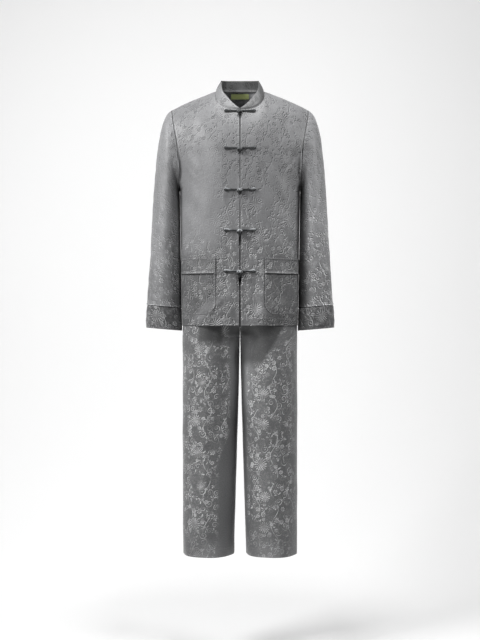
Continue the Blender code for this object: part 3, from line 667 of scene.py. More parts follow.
def motif_group(name):
    """Woven design of our own: big many-petalled blossoms in a half drop, between them small
    blossoms, leaf sprays and curls on a jittered lattice, and wavy stems."""
    tree, w, (plain, blossom), out = new_group(name, {"Blossom": 0.0165}, ["Motif"])
    wobble = w.vector("SUBTRACT", w.noise(plain, 60.0, 1.0, out="Color"), (0.5, 0.5, 0.5))
    cloth = w.vector("ADD", plain, w.vector("MULTIPLY", wobble, (0.0040, 0.0040, 0.0)))
    x, y, _ = w.split(cloth)
    # big blossoms, one a cell, every other column dropped
    across = x / BIG_WIDTH
    odd = abs(w.math("MODULO", w.math("FLOOR", across), 2.0))
    down = y / BIG_HEIGHT + odd * BIG_DROP
    cell = w.node("ShaderNodeCombineXYZ", odd,
                  w.math("FLOORED_MODULO", w.math("FLOOR", down), 3.0))
    draw, colour = w.node("ShaderNodeTexWhiteNoise", noise_dimensions="2D",
                          named={"Vector": cell}, out=["Value", "Color"])
    px, py = ((w.math("FRACT", at) - 0.5 + jitter * 0.24 - 0.12) * length for at, jitter, length
              in zip((across, down), w.split(colour), (BIG_WIDTH, BIG_HEIGHT)))
    r = w.distance(px, py) / (blossom * (draw * 0.45 + 0.75))
    angle = w.math("ARCTAN2", py, px) + draw * 6.0
    big = petals(w, r, angle, 16, 0.56, 1.08, 0.0, 0.66) * (draw * 0.35 + 0.65)
    big = big.most(petals(w, r, angle, 11, 0.30, 0.66, 0.3, 0.72))
    big = big.most(petals(w, r, angle, 7, 0.10, 0.36, 0.6, 0.80)).most(r.ramp(0.12, 0.06))
    vein = abs(w.math("FRACT", angle * (5 / (2 * math.pi)) + 0.2) - 0.5)
    leaves = petals(w, r, angle, 5, 1.08, 1.85, 0.2, 0.42) * vein.ramp(0.008, 0.03, 0.25, 1.0)
    # small figures on a jittered lattice
    spot, colour = w.node(
        "ShaderNodeTexVoronoi", voronoi_dimensions="2D", feature="F1", out=["Position", "Color"],
        named={"Vector": cloth, "Scale": 50.0, "Randomness": 0.82})
    kind, spin, keep = w.split(colour)
    lx, ly, _ = w.split(w.vector("SUBTRACT", cloth, spot))
    s = w.distance(lx, ly) / (spin * 0.004 + 0.0078)
    turn = w.math("ARCTAN2", ly, lx) + spin * 6.28
    bud = petals(w, s, turn, 7, 0.22, 0.80, 0.0, 0.88).most(s.ramp(0.17, 0.10))
    spray = petals(w, s, turn, 3, 0.10, 1.35, 0.0, 0.34).most(
        petals(w, s, turn, 5, 0.05, 0.85, 0.5, 0.34))
    coil = w.math("FRACT", turn / 6.2832 + w.math("POWER", s, 0.62) * 1.9)
    coil = abs(coil - 0.5).ramp(0.15, 0.09) * s.ramp(1.15, 1.0)
    small = bud * w.math("LESS_THAN", kind, 0.30) + spray * w.math("COMPARE", kind, 0.48, 0.18)
    small = (small + coil * w.math("GREATER_THAN", kind, 0.66)) * w.math("LESS_THAN", keep, 0.94)
    # stems: thin wavy lines between the columns of blossoms
    sway = w.math("SINE", y * (2 * math.pi / BIG_HEIGHT))
    stem = abs(w.math("FRACT", x / (BIG_WIDTH / 2) + sway * 0.20) - 0.5).ramp(0.024, 0.012)
    field = small.most(leaves).most(stem * 0.9) * r.ramp(1.04, 1.14)
    field = field * w.noise(plain, 19.0, 1.0).ramp(0.38, 0.45)
    broken = w.noise(plain, 55.0).ramp(0.36, 0.60, 0.45, 1.0)
    w.put(out["Motif"], big.most(field, use_clamp=True) * broken)
    return tree


def thread_group(name):
    """Silk threads: long thin noise along each way of the weave, for a faint bump and tint."""
    tree, w, (cloth, motif), out = new_group(name, {"Motif": 0.0}, ["Height", "Tint"])
    warp, weft, slub = (
        w.noise(w.vector("MULTIPLY", cloth, (across, along, 1.0)), 1.0, detail)
        for across, along, detail in ((2600.0, 260.0, 2.0), (260.0, 2200.0, 2.0),
                                      (700.0, 30.0, 1.0)))
    height = warp * (1.0 - motif) + weft * motif + slub * 0.35
    w.put(out["Height"], height)
    w.put(out["Tint"], height.ramp(0.35, 1.0, 0.86, 1.14))
    return tree


def seam_group(name):
    """Seams and edges from the distance to the piece's edge: a dark joint, then a painted
    highlight on the rolled ridge, and short puckers that fade out of the seam."""
    tree, w, (cloth, d), out = new_group(name, {"Distance": 0.1}, ["Shade", "Height"])
    # painted highlight on the rolled ridge beside the seam
    ridge = d.ramp(0.0018, 0.0034) * d.ramp(0.0075, 0.0040) * w.noise(cloth, 90.0)
    w.put(out["Shade"], d.ramp(0.0003, 0.0026, 0.30, 1.0) * (ridge * 0.46 + 1.0))
    w.put(out["Height"], (w.noise(cloth, 130.0, 1.0) - 0.5) * d.ramp(0.014, 0.001))
    return tree


GROUPS = {"woven_motif": motif_group, "silk_threads": thread_group, "seam_wear": seam_group}
CLOTHS = {
    # materials of the outer and the inner face, slot
    "jacket": ("jacket_face", "jacket_reverse", "jacket_silk"),
    "collar": ("collar_face", "collar_face", "jacket_silk"),
    "cuff": ("cuff_face", "cuff_reverse", "cuff_silk"),
    "trouser": ("trouser_face", "trouser_reverse", "trouser_silk"),
    "label": ("label_face", "label_cloth"),
}
SILKS = {
    # colour, strength of the motif at the top and at the bottom of the piece with their
    #     heights (on the jacket a painted sheen: the motif darker above, lighter below),
    #     roughness of ground and motif, depth of the motif's painted shading, share of the fill
    "jacket_face": ("jacket", -0.42, -0.22, 1.0, -0.60, 0.50, 0.60, 1.25, 0.65),
    "collar_face": ("jacket", -0.42, -0.22, 1.0, -0.60, 0.50, 0.60, 0.9, 0.65),
    "jacket_reverse": ("jacket", 0.30, 0.10, 0.30, -0.90, 0.70, 0.60, 0.1, 0.30),
    "cuff_face": ("cuff", 0.95, 0.0, 0.95, -1.0, 0.50, 0.60, 0.8, 0.65),
    "cuff_reverse": ("cuff", 0.30, 0.0, 0.30, -1.0, 0.70, 0.60, 0.1, 0.30),
    "trouser_face": ("trouser", 0.85, -0.75, 0.95, -0.95, 0.48, 0.58, 0.45, 0.30),
    "trouser_reverse": ("trouser", 0.30, 0.0, 0.30, -1.5, 0.70, 0.60, 0.1, 0.30),
}


def jacket_marks(w, wide, deep, height, seam):
    """How strongly the motif shows on the jacket, and the light and shade painted on its cloth,
    by place.
    """
    aside, ahead = abs(wide), deep.ramp(0.020, -0.010)
    low = height.ramp(-0.500, -0.560) * ahead
    # plain satin over the wearer's right chest, with a little painted light on it
    plain = wide.ramp(-0.040, -0.090) * wide.ramp(-0.210, -0.180) \
        * height.ramp(-0.170, -0.230) * height.ramp(-0.560, -0.440) * ahead
    # painted shade low down, beside the arms, on the pockets and on the hem to the wearer's
    # left; painted light on the sleeves
    near_arm = aside.ramp(0.222, 0.192) * aside.ramp(0.186, 0.190) \
        * height.ramp(-0.220, -0.360) * wide.ramp(-0.2, 0.2, 0.03, 0.66)
    arm = height.ramp(-0.300, -0.600) * wide.ramp(-0.2, 0.2, 0.21, 0.0) \
        + wide.ramp(-0.2, 0.2, 0.18, 0.34)
    pocket = aside.ramp(0.070, 0.088) * aside.ramp(0.196, 0.186) * low \
        * wide.ramp(-0.08, 0.08, -0.29, -0.19)
    tail = height.ramp(-0.704, -0.722) * wide.ramp(0.055, 0.085)
    # painted highlights on two plain folds by the hem, a slanting one and a round one
    x, z = wide + 0.107, height + 0.697
    slanting = abs(x * 0.74 - z * 0.67).ramp(0.024, 0.004) \
        * abs(x * 0.67 + z * 0.74).ramp(0.058, 0.024)
    round_one = w.distance(wide - 0.075, height + 0.700).ramp(0.034, 0.010)
    fold_highlight = (round_one * 0.5 + slanting) * ahead
    # the flaps' edges: painted highlights along them, with a painted shadow line under each
    lines = 0.0
    for level, strong, fine in ((0.5870, -0.58, 0.0030), (0.5815, 0.34, 0.0030),
                                (0.5384, 0.80, 0.0026), (0.5424, -0.50, 0.0026)):
        lines = abs(height + level).ramp(fine, fine * 0.4) * strong + lines
    flap = aside.ramp(0.0765, 0.0795) * aside.ramp(0.188, 0.185) * ahead \
        * wide.ramp(-0.08, 0.08, 0.75, 1.0)
    # painted shade along the inner edge of the wearer's left pocket
    side = abs(wide - 0.0760).ramp(0.0036, 0.0010) * low \
        * height.ramp(-0.690, -0.660) * height.ramp(-0.536, -0.542)
    # painted highlight on the roll above each cuff
    near_cuff = height.ramp(-0.655, -0.665) * aside.ramp(0.186, 0.189) \
        * seam.ramp(0.0012, 0.0024) * seam.ramp(0.0060, 0.0034)
    # painted light on a band right of the middle, painted shade narrowing beside the opening
    band = wide.ramp(0.006, 0.026) * wide.ramp(0.086, 0.066) * low
    wedge = (wide + height.ramp(-0.690, -0.590, 0.0005, 0.0150)).ramp(0.0, 0.0030) \
        * wide.ramp(0.0015, -0.0015) * height.ramp(-0.580, -0.588) * ahead \
        * height.ramp(-0.705, -0.600, 0.10, 1.0)
    # painted shade lower on the jacket, then each mark of painted light and shade in turn
    light = height.ramp(-0.600, -0.400, 0.74, 1.0)
    for mask, amount in (
            (near_arm, -1.0), (aside.ramp(0.205, 0.232) * arm, 1.0), (pocket, 1.0),
            (tail, -0.24), (fold_highlight, 0.80), (lines * flap, 1.0), (side, -0.34),
            (near_cuff, 0.55), (band, 0.16), (wedge, -0.42), (plain, 0.09)):
        light = light * (mask * amount + 1.0)
    shows = (plain * -0.80 + 1.0) * wide.ramp(-0.235, -0.200, 0.50, 1.0) * (fold_highlight * -0.80 + 1.0)
    return shows, light


def collar_marks(w, wide, deep, height, seam):
    """The same for the collar: painted shade to the wearer's left and in its inner corner."""
    corner = wide.ramp(-0.040, -0.050) * deep.ramp(-0.025, -0.005)
    return 1.0, wide.ramp(-0.012, 0.022, 1.0, 0.42) * (corner * -0.50 + 1.0)


def trouser_marks(w, wide, deep, height, seam):
    """The same for the trousers: plain along the inner legs, fainter at the hems, plain and with
    a painted shadow under the jacket's hem; painted light on the inner legs, which catch light
    from each other, on the hems, which catch it from the floor, and a little on the wearer's
    left leg; painted shade at the fork."""
    aside = abs(wide)
    strip = wide.ramp(-0.01, 0.01, 0.026, 0.016) \
        + height.ramp(-1.060, -1.190, 0.0, 0.036) * wide.ramp(0.01, -0.01)
    shows = (aside - strip).ramp(0.0, 0.016) * wide.ramp(0.170, 0.150, 0.40, 1.0) \
        * height.ramp(-1.455, -1.320, 0.42, 1.0)
    # painted shadow under the jacket's hem, where the cloth is plain
    one = (wide - (height * 0.60 + 0.586)).ramp(0.010, -0.006) \
        * height.ramp(-0.885, -0.850) * wide.ramp(0.0, 0.012)
    two = abs(wide + 0.092).ramp(0.044, 0.030) * height.ramp(-0.812, -0.790)
    shade = one.most(two) * deep.ramp(0.020, -0.010)
    # painted light on the inner legs and the hems, painted shade at the fork
    inner = aside.ramp(0.056, 0.010) * height.ramp(-1.060, -0.900) \
        * height.ramp(-0.772, -0.790) * height.ramp(-0.850, -0.794, 1.3, 2.2)
    toe = abs(aside - 0.092).ramp(0.050, 0.010) * height.ramp(-1.405, -1.462)
    fork = aside.ramp(0.060, 0.026) * height.ramp(-0.786, -0.768)
    lift = (inner + toe * 0.45 + fork * -0.34) * deep.ramp(0.010, -0.030) + 1.0
    light = (shade * -0.52 + 1.0) * wide.ramp(-0.01, 0.03, 1.0, 1.10) * lift
    return shows * (shade * -0.85 + 1.0), light


MARKS = {"jacket_face": jacket_marks, "collar_face": collar_marks,
         "trouser_face": trouser_marks}


def silk(w, shader, name, uv, place):
    """Figured silk: the woven motif, darker or lighter than its ground, with painted light and
    shade on its edges as if carved, threads, the seams' dark joints with painted highlights
    beside them, painted light and shade by place, clouds and flecks. Gives the relief."""
    ground, top, top_z, low, low_z, rough, rough_motif, painted_emboss_depth, filled = SILKS[name]
    seam = w.node("ShaderNodeAttribute", attribute_name="seam", out="Fac")
    motif = w.group("woven_motif", uv)
    # painted light and shade: the motif's edges lighter on one side and darker on the other, as
    # if carved
    painted_emboss = w.group("woven_motif", w.vector("ADD", uv, (0.0015, -0.0015, 0.0))) - motif
    # the same design once more, under half the size, as small fill between the blossoms
    fill = w.group("woven_motif", w.vector(
        "MULTIPLY", w.vector("ADD", uv, (0.37, 0.11, 0.0)), (2.3, 2.3, 1.0)))
    height, thread = w.group("silk_threads", uv, motif, out=[0, 1])
    # dark joint at the seams, with a painted highlight on the rolled ridge beside it
    tone_and_highlight, pucker = w.group("seam_wear", uv, seam, out=[0, 1])
    wide, deep, level = w.split(place)
    # painted light: the jacket's reverse is made three times lighter, as light inside the neck
    shows, light = MARKS[name](w, wide, deep, level, seam) if name in MARKS \
        else (1.0, 3.0 if name == "jacket_reverse" else 1.0)
    # on the jacket the motif turns from darker to lighter down the piece, a painted sheen
    strength = level.ramp(low_z, top_z, low, top) * shows
    woven = motif.most(fill * filled)
    colours = bpy.context.scene.pyjama_colours
    base = (*getattr(colours, ground), 1.0)
    colour = w.mix(strength.most(0.0) * woven, base, (*getattr(colours, ground + "_motif"), 1.0))
    colour = w.mix((strength * -1.0).most(0.0) * woven, colour,
                   (*(0.2 * share for share in base[:3]), 1.0))
    cloud = w.noise(place, 7.0, 3.0).ramp(0.3, 0.7, 0.93, 1.07)
    fleck = w.noise(uv, 260.0, 3.0, 0.7).ramp(0.36, 0.64, -0.11, 0.11)
    # painted light and shade by place and on the motif's edges, the seams' joints and painted
    # highlights, threads, clouds and flecks
    shade = tone_and_highlight * thread * cloud * (fleck + 1.0) * light * (painted_emboss * -painted_emboss_depth * shows + 1.0)
    w.put(shader["Base Color"], w.scaled(colour, shade))
    w.put(shader["Roughness"], motif.ramp(0.0, 1.0, rough, rough_motif))
    for socket, value in (("Sheen Weight", 0.12), ("Sheen Roughness", 0.4),
                          ("Specular IOR Level", 0.45)):
        w.put(shader[socket], value)
    return motif * 0.00012 + height * 0.00006 + w.noise(uv, 45.0) * 0.0006 + pucker * 0.0004


def bound_cord(w, shader, name, uv, place):
    """Bound cord: the binding runs round it as a spiral; the upper strand has a painted
    highlight, stronger on the lower frogs."""
    dark = tuple(bpy.context.scene.pyjama_colours.frog)
    around, along, _ = w.split(uv)
    twist = w.math("SINE", along * (2 * math.pi / BINDING) + around * (2 * math.pi))
    grain = w.noise(place, 900.0)
    # painted highlight on the upper strand, stronger low down
    tone_and_highlight = w.node("ShaderNodeAttribute", attribute_name="upper", out="Fac") \
        * w.split(place)[2].ramp(-0.15, -0.42, 0.20, 1.0)
    colour = w.mix(tone_and_highlight, (*dark, 1.0), (*(12.0 * share for share in dark), 1.0))
    w.put(shader["Base Color"], w.scaled(colour, twist.ramp(-1.0, 1.0, 0.80, 1.15)
                                         * grain.ramp(0.3, 0.7, 0.88, 1.12)))
    w.put(shader["Roughness"], grain.ramp(0.2, 0.8, 0.50, 0.62))
    w.put(shader["Specular IOR Level"], 0.3)
    return twist * 0.00012 + grain * 0.0001


def sewing_thread(w, shader, name, uv, place):
    """Sewing thread: a fine grain of pale and dark."""
    grain = w.noise(place, 1500.0, 1.0)
    w.put(shader["Base Color"], w.mix(grain, (0.16, 0.16, 0.165, 1), (0.34, 0.34, 0.35, 1)))
    w.put(shader["Roughness"], grain.ramp(0.2, 0.8, 0.40, 0.55))
    return grain * 0.00005


def label_weave(w, shader, name, uv, place):
    """Blank woven label: fine ribs with a grain along them, and a faint glow of painted light."""
    base = tuple(bpy.context.scene.pyjama_colours.label)
    weave = w.node("ShaderNodeTexWave", wave_type="BANDS", bands_direction="Y", out="Fac",
                   named={"Vector": uv, "Scale": 420.0})
    grain = w.noise(w.vector("MULTIPLY", uv, (1500.0, 500.0, 1.0)), 1.0)
    w.put(shader["Base Color"], w.mix(grain * weave, (*(0.72 * share for share in base), 1),
                                      (*base, 1)))
    w.put(shader["Roughness"], grain.ramp(0.2, 0.8, 0.7, 0.85))
    # painted light: a faint glow so the label shows inside the neck
    w.put(shader["Emission Color"], (*base, 1))
    w.put(shader["Emission Strength"], 0.09)
    return weave * 0.0001


def material_of(name):
    """Material by name: figured silk, bound cord, thread or label cloth, with its relief."""
    if name in bpy.data.materials:
        return bpy.data.materials[name]
    made = bpy.data.materials.new(name)
    made.use_nodes = True
    w, shader = Wires(made.node_tree), made.node_tree.nodes["Principled BSDF"].inputs
    kinds = {"cord_face": bound_cord, "stitch_thread": sewing_thread,
             "label_face": label_weave}
    relief = kinds.get(name, silk)(w, shader, name, w.node("ShaderNodeUVMap", uv_map="cloth"),
                                   w.node("ShaderNodeTexCoord", out="Object"))
    w.put(shader["Normal"], w.node("ShaderNodeBump", named={
        "Height": relief, "Distance": 1.0, "Strength": 1.0}))
    return made


# operators
def torso_marks(face, centre_edge):
    """Turns of the columns and heights of the rows of a torso panel, finer at its edges."""
    near = [0.0, 0.00012, 0.0004, 0.0009, 0.0017] if centre_edge else [0.0]
    x = np.concatenate([near, np.linspace(0.0042 if centre_edge else 0.004, NECK_HALF, 20)])
    turns = np.arcsin((x / TIP_X) ** (SQUARE / 2))
    last = math.pi / 2 - np.array([0.014, 0.006, 0.0026, 0.0009, 0.0])
    turns = np.concatenate([turns, np.linspace(turns[-1], math.pi / 2, 46)[1:-1], last])
    x_top = TIP_X * np.sin(turns) ** (2 / SQUARE)
    top = np.where(x_top < NECK_HALF - 1e-6, neckline(x_top, face), shoulder_top(x_top, face))
    low = HEM_Z + (ARMPIT_Z - HEM_Z) * fine_ends(106, ARMPIT_Z - HEM_Z, EDGE, end=False)[:-1]
    mid = ARMPIT_Z + (ROUND_Z - ARMPIT_Z) * (1 - np.cos(np.linspace(0, math.pi / 2, 36)))
    wave = np.sin(np.linspace(0, math.pi / 2, 44)[1:]) ** (2 / ROUND_POWER)
    rows = np.concatenate([np.concatenate([low, mid])[:, None] + 0 * top,
                           ROUND_Z + (top - ROUND_Z) * wave[:, None]])
    return turns, rows, len(low)


def front_gap(z, opening):
    """Half the gap between the fronts: a hair, wider for a little way under each knot."""
    gap = np.full_like(z, 0.0006)
    for number, height in enumerate(FROG_HEIGHTS):
        below = height - 0.012 - 0.004 * (number % 2)
        gap = gap + opening * (0.04 + 0.06 * number ** 2) * bump(z, below - 0.010, 0.017)
    return gap + 0.0010 * step(-z, 0.60, 0.75)


class PYJAMA_OT_fronts(bpy.types.Operator):
    """Make the two fronts, edge to edge, and the back."""

    bl_idname = "pyjama.body_panels"
    bl_label = "Fronts and back"

    def execute(self, context):
        sizes, lines = context.scene.pyjama_sizes, []
        turns, rows, _ = torso_marks(-1, True)
        for side, word in ((1, "left"), (-1, "right")):
            grid = torso(turns * side + 0 * rows, rows, -1, creases=sizes.creases)
            x = np.abs(grid[..., 0])
            edge = bump(x, 0.0045, 0.0040) * step(-rows, 0.075, 0.10)
            grid[..., 0] = side * (x + front_gap(rows, sizes.opening) * np.exp(-x / 0.018))
            grid[..., 1] -= (0.0011 if side > 0 else 0.0006) * edge
            grid[..., 1] = np.minimum(grid[..., 1], -APART)
            lines.append(stitch_line(grid, HEM_STITCHES, side))
            cloth_shell("front_" + word, grid, sizes.cloth, flip=side < 0,
                        start=float(side < 0))
        turns, rows, _ = torso_marks(1, False)
        turns = np.concatenate([-turns[:0:-1], turns])
        rows = np.concatenate([rows[:, :0:-1], rows], axis=1)
        grid = torso(turns + 0 * rows, rows, 1, creases=sizes.creases)
        grid[..., 1] = np.maximum(grid[..., 1], APART)
        cloth_shell("back_panel", grid[:, ::-1], sizes.cloth, name="back_cloth",
                    shift=(0.31, 0.02))
        sew("hem_stitches", [*lines, stitch_line(grid, HEM_STITCHES, -1)],
            0.0005)
        return {"FINISHED"}


def armhole_ring(side):
    """Ring of the armhole from the armpit over the front to the tip and down the back."""
    halves = []
    for face in (-1, 1):
        _, rows, low = torso_marks(face, False)
        z = rows[low:, -1]
        halves.append(torso(np.full_like(z, math.pi / 2), z, face))
    return np.concatenate([halves[0], halves[1][-2:0:-1]]) * (side, 1, 1)


def ring_section(table, row, along, across, side):
    """Rings between a section's outermost and innermost point, for an array of rows."""
    value = {n: smooth(table, n, row)[:, None] for n in table[0][1:]}
    x, z = ((value["outer_" + n] + value["inner_" + n]) / 2
            + along * (value["outer_" + n] - value["inner_" + n]) / 2 for n in "xz")
    return np.stack([side * x, value["centre_y"] + across * value["half_depth"], z], axis=-1)


def even_rows(table, count, edge):
    """Row numbers at even steps down the outer line, finer at the ends."""
    fine = np.linspace(0, len(table) - 2, 400)
    way = run(np.stack([smooth(table, "outer_" + n, fine) for n in "xz"], axis=-1), 0)
    return np.interp(fine_ends(count, way[-1], edge) * way[-1], way, fine)


def out_of_ring(grid, level=False):
    """Directions from each ring's middle to its points, level where asked."""
    out = grid - grid.mean(axis=1, keepdims=True)
    return unit(out * (1, 1, 0) if level else out)


class PYJAMA_OT_sleeves(bpy.types.Operator):
    """Make the set-in sleeves and their sewn-on cuffs."""

    bl_idname = "pyjama.sleeves"
    bl_label = "Sleeves and cuffs"

    def execute(self, context):
        sizes, lines = context.scene.pyjama_sizes, []
        for side, word in ((1, "left"), (-1, "right")):
            ring = armhole_ring(side)
            along = np.clip((ring[:, 2] * 2 - TIP_Z - ARMPIT_Z) / (TIP_Z - ARMPIT_Z), -1, 1)
            sign = np.where(np.arange(len(ring)) < (len(ring) + 2) // 2, -1.0, 1.0)
            across = sign * np.sqrt(1 - along ** 2)
            ring, along, across = (np.concatenate([a, a[:1]]) for a in (ring, along, across))
            angle = np.arctan2(across, along)
            inner = np.clip(-along, 0, 1)
            self.sleeve(sizes, side, word, ring, along, across, angle, inner)
            grid = self.cuff(sizes, side, word, along, across, angle, inner)
            lines += [stitch_line(grid, inset, -side, closed=True)
                      for inset in (0.0052, -0.0026)]
        sew("cuff_stitches", lines, 0.0006)
        return {"FINISHED"}

    @staticmethod
    def sleeve(sizes, side, word, ring, along, across, angle, inner):
        """Rings from the armhole's own ring to the cuff, folded, eased in at the sleeve head
        and rolled out a little above the cuff."""
        row = even_rows(SLEEVE, 132, sizes.cloth / 2)
        grid = ring_section(SLEEVE, row, along, across, side)
        share = step(row, 0.0, 2.2)[:, None, None]
        reach = grid - ring_section(SLEEVE, np.zeros(1), along, across, side)
        plain = (ring + (side * 0.0004, 0, 0) + reach) * (1 - share) + grid * share
        z = plain[..., 2]
        amount = tube_folds(np.degrees(angle), z, (SLEEVE_FOLDS, SLEEVE_CREASES), sizes.creases,
                            side, (0.012, 2.3, 5.0, 1.7), 60, True)
        for height, radius, seed, length in ((0.0006, 0.06, 0, 0.075), (0.00025, 0.07, 5, 0.024)):
            amount = amount + sizes.creases * height * ripple(
                np.cos(angle) * radius, z + (radius if seed else 0.04) * np.sin(angle),
                31 + side + seed, length)
        amount = amount * (1 - inner ** 24)
        grid = plain + out_of_ring(plain, True) * amount[..., None]
        way = run(grid, 0)
        cap = 0.0008 * bump(way, 0.009, 0.006) * np.clip(along + 0.6, 0, 1) \
            * (1 + 0.5 * np.sin(np.arange(len(along)) * 0.9))
        roll = 0.0020 * bump(way[-1:] - way, 0.0045, 0.0040) * (1 - inner ** 12)
        grid = grid + out_of_ring(grid) * (cap + roll)[..., None]
        cloth_shell("sleeve_" + word, grid, sizes.cloth, closed=True, flip=side > 0,
                    shift=(0.17 + 0.09 * side, 0.05), plain=plain)

    @staticmethod
    def cuff(sizes, side, word, along, across, angle, inner):
        """Cuff: its rings swell in the middle and are drawn in at the seam to the sleeve."""
        row = even_rows(CUFF, 22, sizes.band / 2)
        plain = ring_section(CUFF, row, along, across, side)
        wave = 0.0009 * np.sin(np.degrees(angle) / 14 + side)
        belly = 0.0012 * np.sin(np.clip(row, 0, 2) * math.pi / 2)[:, None] \
            - 0.0026 * np.exp(-(run(plain, 0)[:, :1] / 0.0026) ** 4)
        uneven = 0.0005 * ripple(along[None] * 0.06, plain[..., 2], 71, 0.03)
        amount = (wave + np.maximum(belly, 0) + uneven) * (1 - inner ** 12)
        grid = plain + out_of_ring(plain) * (amount + np.minimum(belly, 0))[..., None]
        cloth_shell("cuff_" + word, grid, sizes.band, "cuff", closed=True, flip=side > 0,
                    shift=(0.40 + 0.05 * side, 0.01), plain=plain)
        return grid


class PYJAMA_OT_collar(bpy.types.Operator):
    """Make the collar stand, whose ends run down to the centre front, and the blank label."""

    bl_idname = "pyjama.collar"
    bl_label = "Collar and label"

    def execute(self, context):
        sizes = context.scene.pyjama_sizes
        angle = COLLAR_TURN * (2 * fine_ends(170, 0.46, sizes.stand / 2) - 1)
        wide = np.abs(angle)
        x = NECK_HALF * np.sin(np.radians(angle))
        low = np.where(wide > 90, neckline(x, -1), neckline(x, 1))
        turn = turn_of(x, low)
        base = np.where((wide > 90)[:, None], torso(turn, low, -1), torso(turn, low, 1))
        inward = unit((np.array([0.0, COLLAR_CENTRE_Y, 0.0]) - base) * (1, 1, 0))
        lean = np.radians(smooth(COLLAR, "lean", wide))[:, None]
        direction = inward * np.sin(lean) + np.array([0.0, 0.0, 1.0]) * np.cos(lean)
        share = fine_ends(16, 0.038, sizes.stand / 2)[:, None]
        tuck = 0.0034 * step(COLLAR_TURN - wide, 0, 26)
        height = smooth(COLLAR, "rise", wide) * share - tuck * (1 - share)
        seat = 0.0015 * step(0.0030 - height, -0.0030, 0.0020) * (tuck > 1e-6)
        belly = 0.0016 * np.sin(math.pi * share) + 0.0004 * ripple(
            np.radians(angle)[None] * 0.078, share * 0.04, 81, 0.05)
        belly = belly * step(COLLAR_TURN - wide, 0, 30)
        grid = base + direction * height[..., None] + inward * (seat - belly)[..., None]
        cloth_shell("collar_stand", grid[:, ::-1], sizes.stand, "collar", "collar_cloth",
                    shift=(0.07, 0.33), even=True)
        sew("collar_stitches", [stitch_line(grid, -0.0034, -1)], 0.0005)
        tall = LABEL_TOP - LABEL_BOTTOM
        x, z = np.meshgrid(LABEL_HALF * (2 * fine_ends(24, 2 * LABEL_HALF, LABEL / 2) - 1),
                           LABEL_BOTTOM + tall * fine_ends(9, tall, LABEL / 2))
        grid = torso(turn_of(x, z), z, 1, lift=-(sizes.cloth + 0.0010))
        grid[..., 1] -= 0.0006 * bump(z, LABEL_BOTTOM, 0.004)
        cloth_shell("neck_label", grid, LABEL, "label", "label_cloth_piece")
        return {"FINISHED"}


class PYJAMA_OT_pockets(bpy.types.Operator):
    """Make the patch pockets with their wide bands and rows of stitches."""

    bl_idname = "pyjama.pockets"
    bl_label = "Pockets"

    def execute(self, context):
        sizes, lines = context.scene.pyjama_sizes, []
        first, last = (math.asin(h ** (SQUARE / 2)) for h in (POCKET_IN, POCKET_OUT))
        columns = fine_ends(42, POCKET_WIDTH, EDGE)
        for side, word in ((1, "left"), (-1, "right")):
            grid = self.patch(side, columns, first, last, 0.8 * sizes.cloth + 0.0002)
            cloth_shell("pocket_" + word, grid, sizes.cloth, flip=side < 0,
                        shift=(0.12 * side, 0.13))
            lines += [stitch_line(grid, PATCH_STITCHES, side),
                      stitch_line(grid, PATCH_STITCHES, side, True),
                      stitch_line(grid, -PATCH_STITCHES, side, True)]
            turns = first - 0.004 + (last - first + 0.006) * columns
            share = fine_ends(16, POCKET_BAND, sizes.band / 2)[:, None]
            middle = np.sin(math.pi * columns)
            bow = middle ** 0.5 * (1 - share)
            z = POCKET_TOP - POCKET_BAND + (POCKET_BAND + 0.002) * share - 0.0018 * bow
            grid = torso(turns * side, z, -1, lift=1.8 * sizes.cloth + sizes.band * 0.4 + 0.0002)
            grid[..., 1] += 0.0010 * bump(z, POCKET_TOP - POCKET_BAND + BAND_FOLD, 0.0018) \
                - 0.0054 * bow * (1 - share) - 0.0005 * middle
            cloth_shell("pocket_band_" + word, grid, sizes.band, flip=side < 0,
                        shift=(0.12 * side, 0.21))
            lines += [stitch_line(grid, BAND_FOLD, side), stitch_line(grid, -0.0022, side)]
        sew("pocket_stitches", lines)
        return {"FINISHED"}

    @staticmethod
    def patch(side, columns, first, last, lift):
        """Patch pocket on the front's own surface: columns between the pocket's edges, drawn
        in round the lower corners by a quarter ellipse, puffed out, flat at its stitches."""
        corner = 1 + POCKET_CORNER / (POCKET_BOTTOM - POCKET_TOP)
        straight = fine_ends(40, POCKET_TOP - POCKET_BOTTOM, EDGE, end=False)
        rows = np.concatenate([straight[straight < corner], corner + (1 - corner) * np.sin(
            np.radians(np.linspace(0, 90, 26)))])[:, None]
        bend = np.sqrt(1 - np.clip((rows - corner) / (1 - corner), 0, 1) ** 2)
        cut = POCKET_CORNER * (1 - bend) / POCKET_WIDTH * (last - first)
        turns = (first + cut) * (1 - columns) + (last - cut) * columns
        z = POCKET_TOP + (POCKET_BOTTOM - POCKET_TOP) * rows + 0 * columns
        grid = torso(turns * side, z, -1, lift=lift)
        along, down = run(grid, 1), run(grid, 0)
        edge = np.minimum.reduce([along, along[:, -1:] - along, down[-1:] - down])
        puff = 0.0016 * step(edge, 0.003, 0.030) * step(-z, 0.545, 0.60) \
            - 0.0004 * bump(edge, 0.0022, 0.0008)
        return (grid - grid_normals(grid, False) * (puff * side)[..., None])[::-1]


